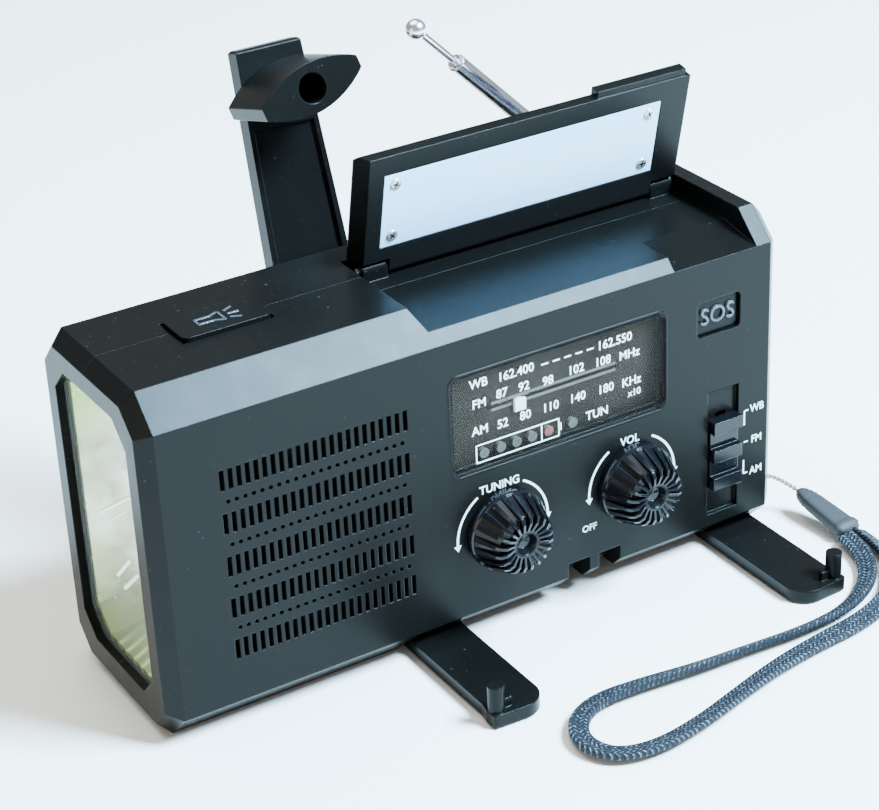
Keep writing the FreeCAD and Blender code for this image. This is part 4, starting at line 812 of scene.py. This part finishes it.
def painted_cross_shade(bm, place, radius, height, turn):
    """The painted shade of the cross recess in a screw head: a flat dark cross a hair above its face."""
    for k in range(2):
        angle = math.radians(turn + 90 * k)
        u, v = Vector((math.cos(angle), math.sin(angle), 0)), Vector((-math.sin(angle), math.cos(angle), 0))
        half, wide, z = radius * 0.58, radius * 0.13, -radius * 0.335 * height - 0.00001 * (k + 1)
        corners = [u * half + v * wide, u * -half + v * wide, u * -half - v * wide, u * half - v * wide]
        bm.faces.new([bm.verts.new(place @ (c + Vector((0, 0, z)))) for c in corners])


def open_lid_place(x, y, z):
    """Where a point of the closed lid's underside stands on the open lid, and which way it faces."""
    turn = Matrix.Rotation(-LID_ANGLE, 4, "X")
    return Matrix.Translation(LID_HINGE) @ turn @ Matrix.Translation(Vector((x, y, z)) - LID_HINGE)


# Each screw's place in millimetres, x and y on the closed lid or x and z on the back, and its cross's turn.
LID_SCREWS = ((-4.8, -16, 20), (69.8, -16, 65), (-4.8, -1, 40), (69.8, -1, 5))
CASE_SCREWS = ((-63.6, 10, 10), (-63, 84, 50), (-28, 80, 75), (26, 12, 33), (84, 66, 80), (84, 20, 25))
LID_LOW = 88.5 * MM
LID_SCREW_RADIUS, LID_SCREW_HEIGHT = 1.6 * MM, 0.7
CASE_SCREW_RADIUS, CASE_SCREW_HEIGHT = 2.4 * MM, 0.8


def lid_screws(bm, build):
    """build, which makes a head or its painted dark cross, at each of the lid's corners."""
    for x, y, turn in LID_SCREWS:
        build(bm, open_lid_place(x * MM, y * MM, LID_LOW), LID_SCREW_RADIUS, LID_SCREW_HEIGHT, turn)


def case_screws(bm, build):
    """The same on the case screws, which are sunk in the back."""
    back_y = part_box("case_screws")[1].y
    for x, z, turn in CASE_SCREWS:
        place = Matrix.Translation((x * MM, back_y, z * MM)) @ Matrix.Rotation(math.pi / 2, 4, "X")
        build(bm, place, CASE_SCREW_RADIUS, CASE_SCREW_HEIGHT, turn)


def make_screw_heads():
    """Heads of the lid's and the case's screws, and the painted shade of their cross recesses."""
    for part_name, build, material in (("heads", cross_head, MATERIALS["steel"]),
                                       # Each cross is a flat dark shape: painted shade of the recess.
                                       ("cross_shades", painted_cross_shade, CASE)):
        for group_name, group, body in (("lid_screw_", lid_screws, "lid"),
                                        ("case_screw_", case_screws, "case")):
            name = group_name + part_name
            piece(name, mesh_from(name, lambda bm: group(bm, build)), body, "steel", material)


# The ends of each painted LED reflection, a glowing strip on the bowl's sloping far wall, and its half
# width, in millimetres.
LED_GLINTS = (((-81.14, 16.94, 23.9), (-78.11, 15.43, 27.9), 0.42),
          ((-79.95, 16.35, 19.9), (-76.75, 14.75, 23.4), 0.42),
          ((-83.34, 18.04, 42.3), (-76.47, 14.61, 45.8), 0.3),
          ((-82.2, 17.47, 39.6), (-77.6, 15.17, 42.0), 0.14))
GLINT_WALL = Vector((0.5, 1, 0)).normalized()


def lamp_painted_glints(bm):
    """Painted reflections of the LEDs: glowing strips standing on the far wall of the lamp's bowl."""
    for start, end, half_width in LED_GLINTS:
        a, b = Vector(start) * MM, Vector(end) * MM
        side = (b - a).normalized().cross(GLINT_WALL).normalized() * half_width * MM
        low = [bm.verts.new(p - GLINT_WALL * 0.0001) for p in (a + side, b + side, b - side, a - side)]
        high = [bm.verts.new(v.co - GLINT_WALL * 0.0004) for v in low]
        bm.faces.new(high)
        join_rings(bm, (low, high))


def make_details():
    """The small moulded and printed pieces, each on the body that it moves with."""
    for name, build, body, slot, material in (
            ("track_printing", track_printing, "case", "dial_black", TRACK),
            ("indicator_rings", indicator_rings, "case", "indicator", RIM),
            ("low_battery_lamp", red_lamp, "case", "indicator", RED),
            ("window_rim", window_rim, "case", "gloss_black", CASE),
            # The painted LED reflections, glowing.
            ("lamp_painted_glints", lamp_painted_glints, "case", "reflector", LED_GLINT_PAINT),
            ("key_lettering", key_lettering, "sos_key", "case_plastic", RAISED_HIGHLIGHT),
            ("lamp_icon", lamp_icon, "lamp_key", "case_plastic", RAISED_HIGHLIGHT),
            ("dial_printing", dial_printing, "case", "pointer_white", WHITE),
            ("knob_printing", knob_printing, "case", "pointer_white", WHITE),
            ("band_printing", band_printing, "case", "pointer_white", WHITE)):
        piece(name, mesh_from(name, build), body, slot, material)


# ---------------------------------------------------------------- the scene

make_camera()
make_studio()
strap, strap_line, strap_length = make_strap()
string, sleeve = make_string(), make_sleeve()
make_screw_heads()
make_details()
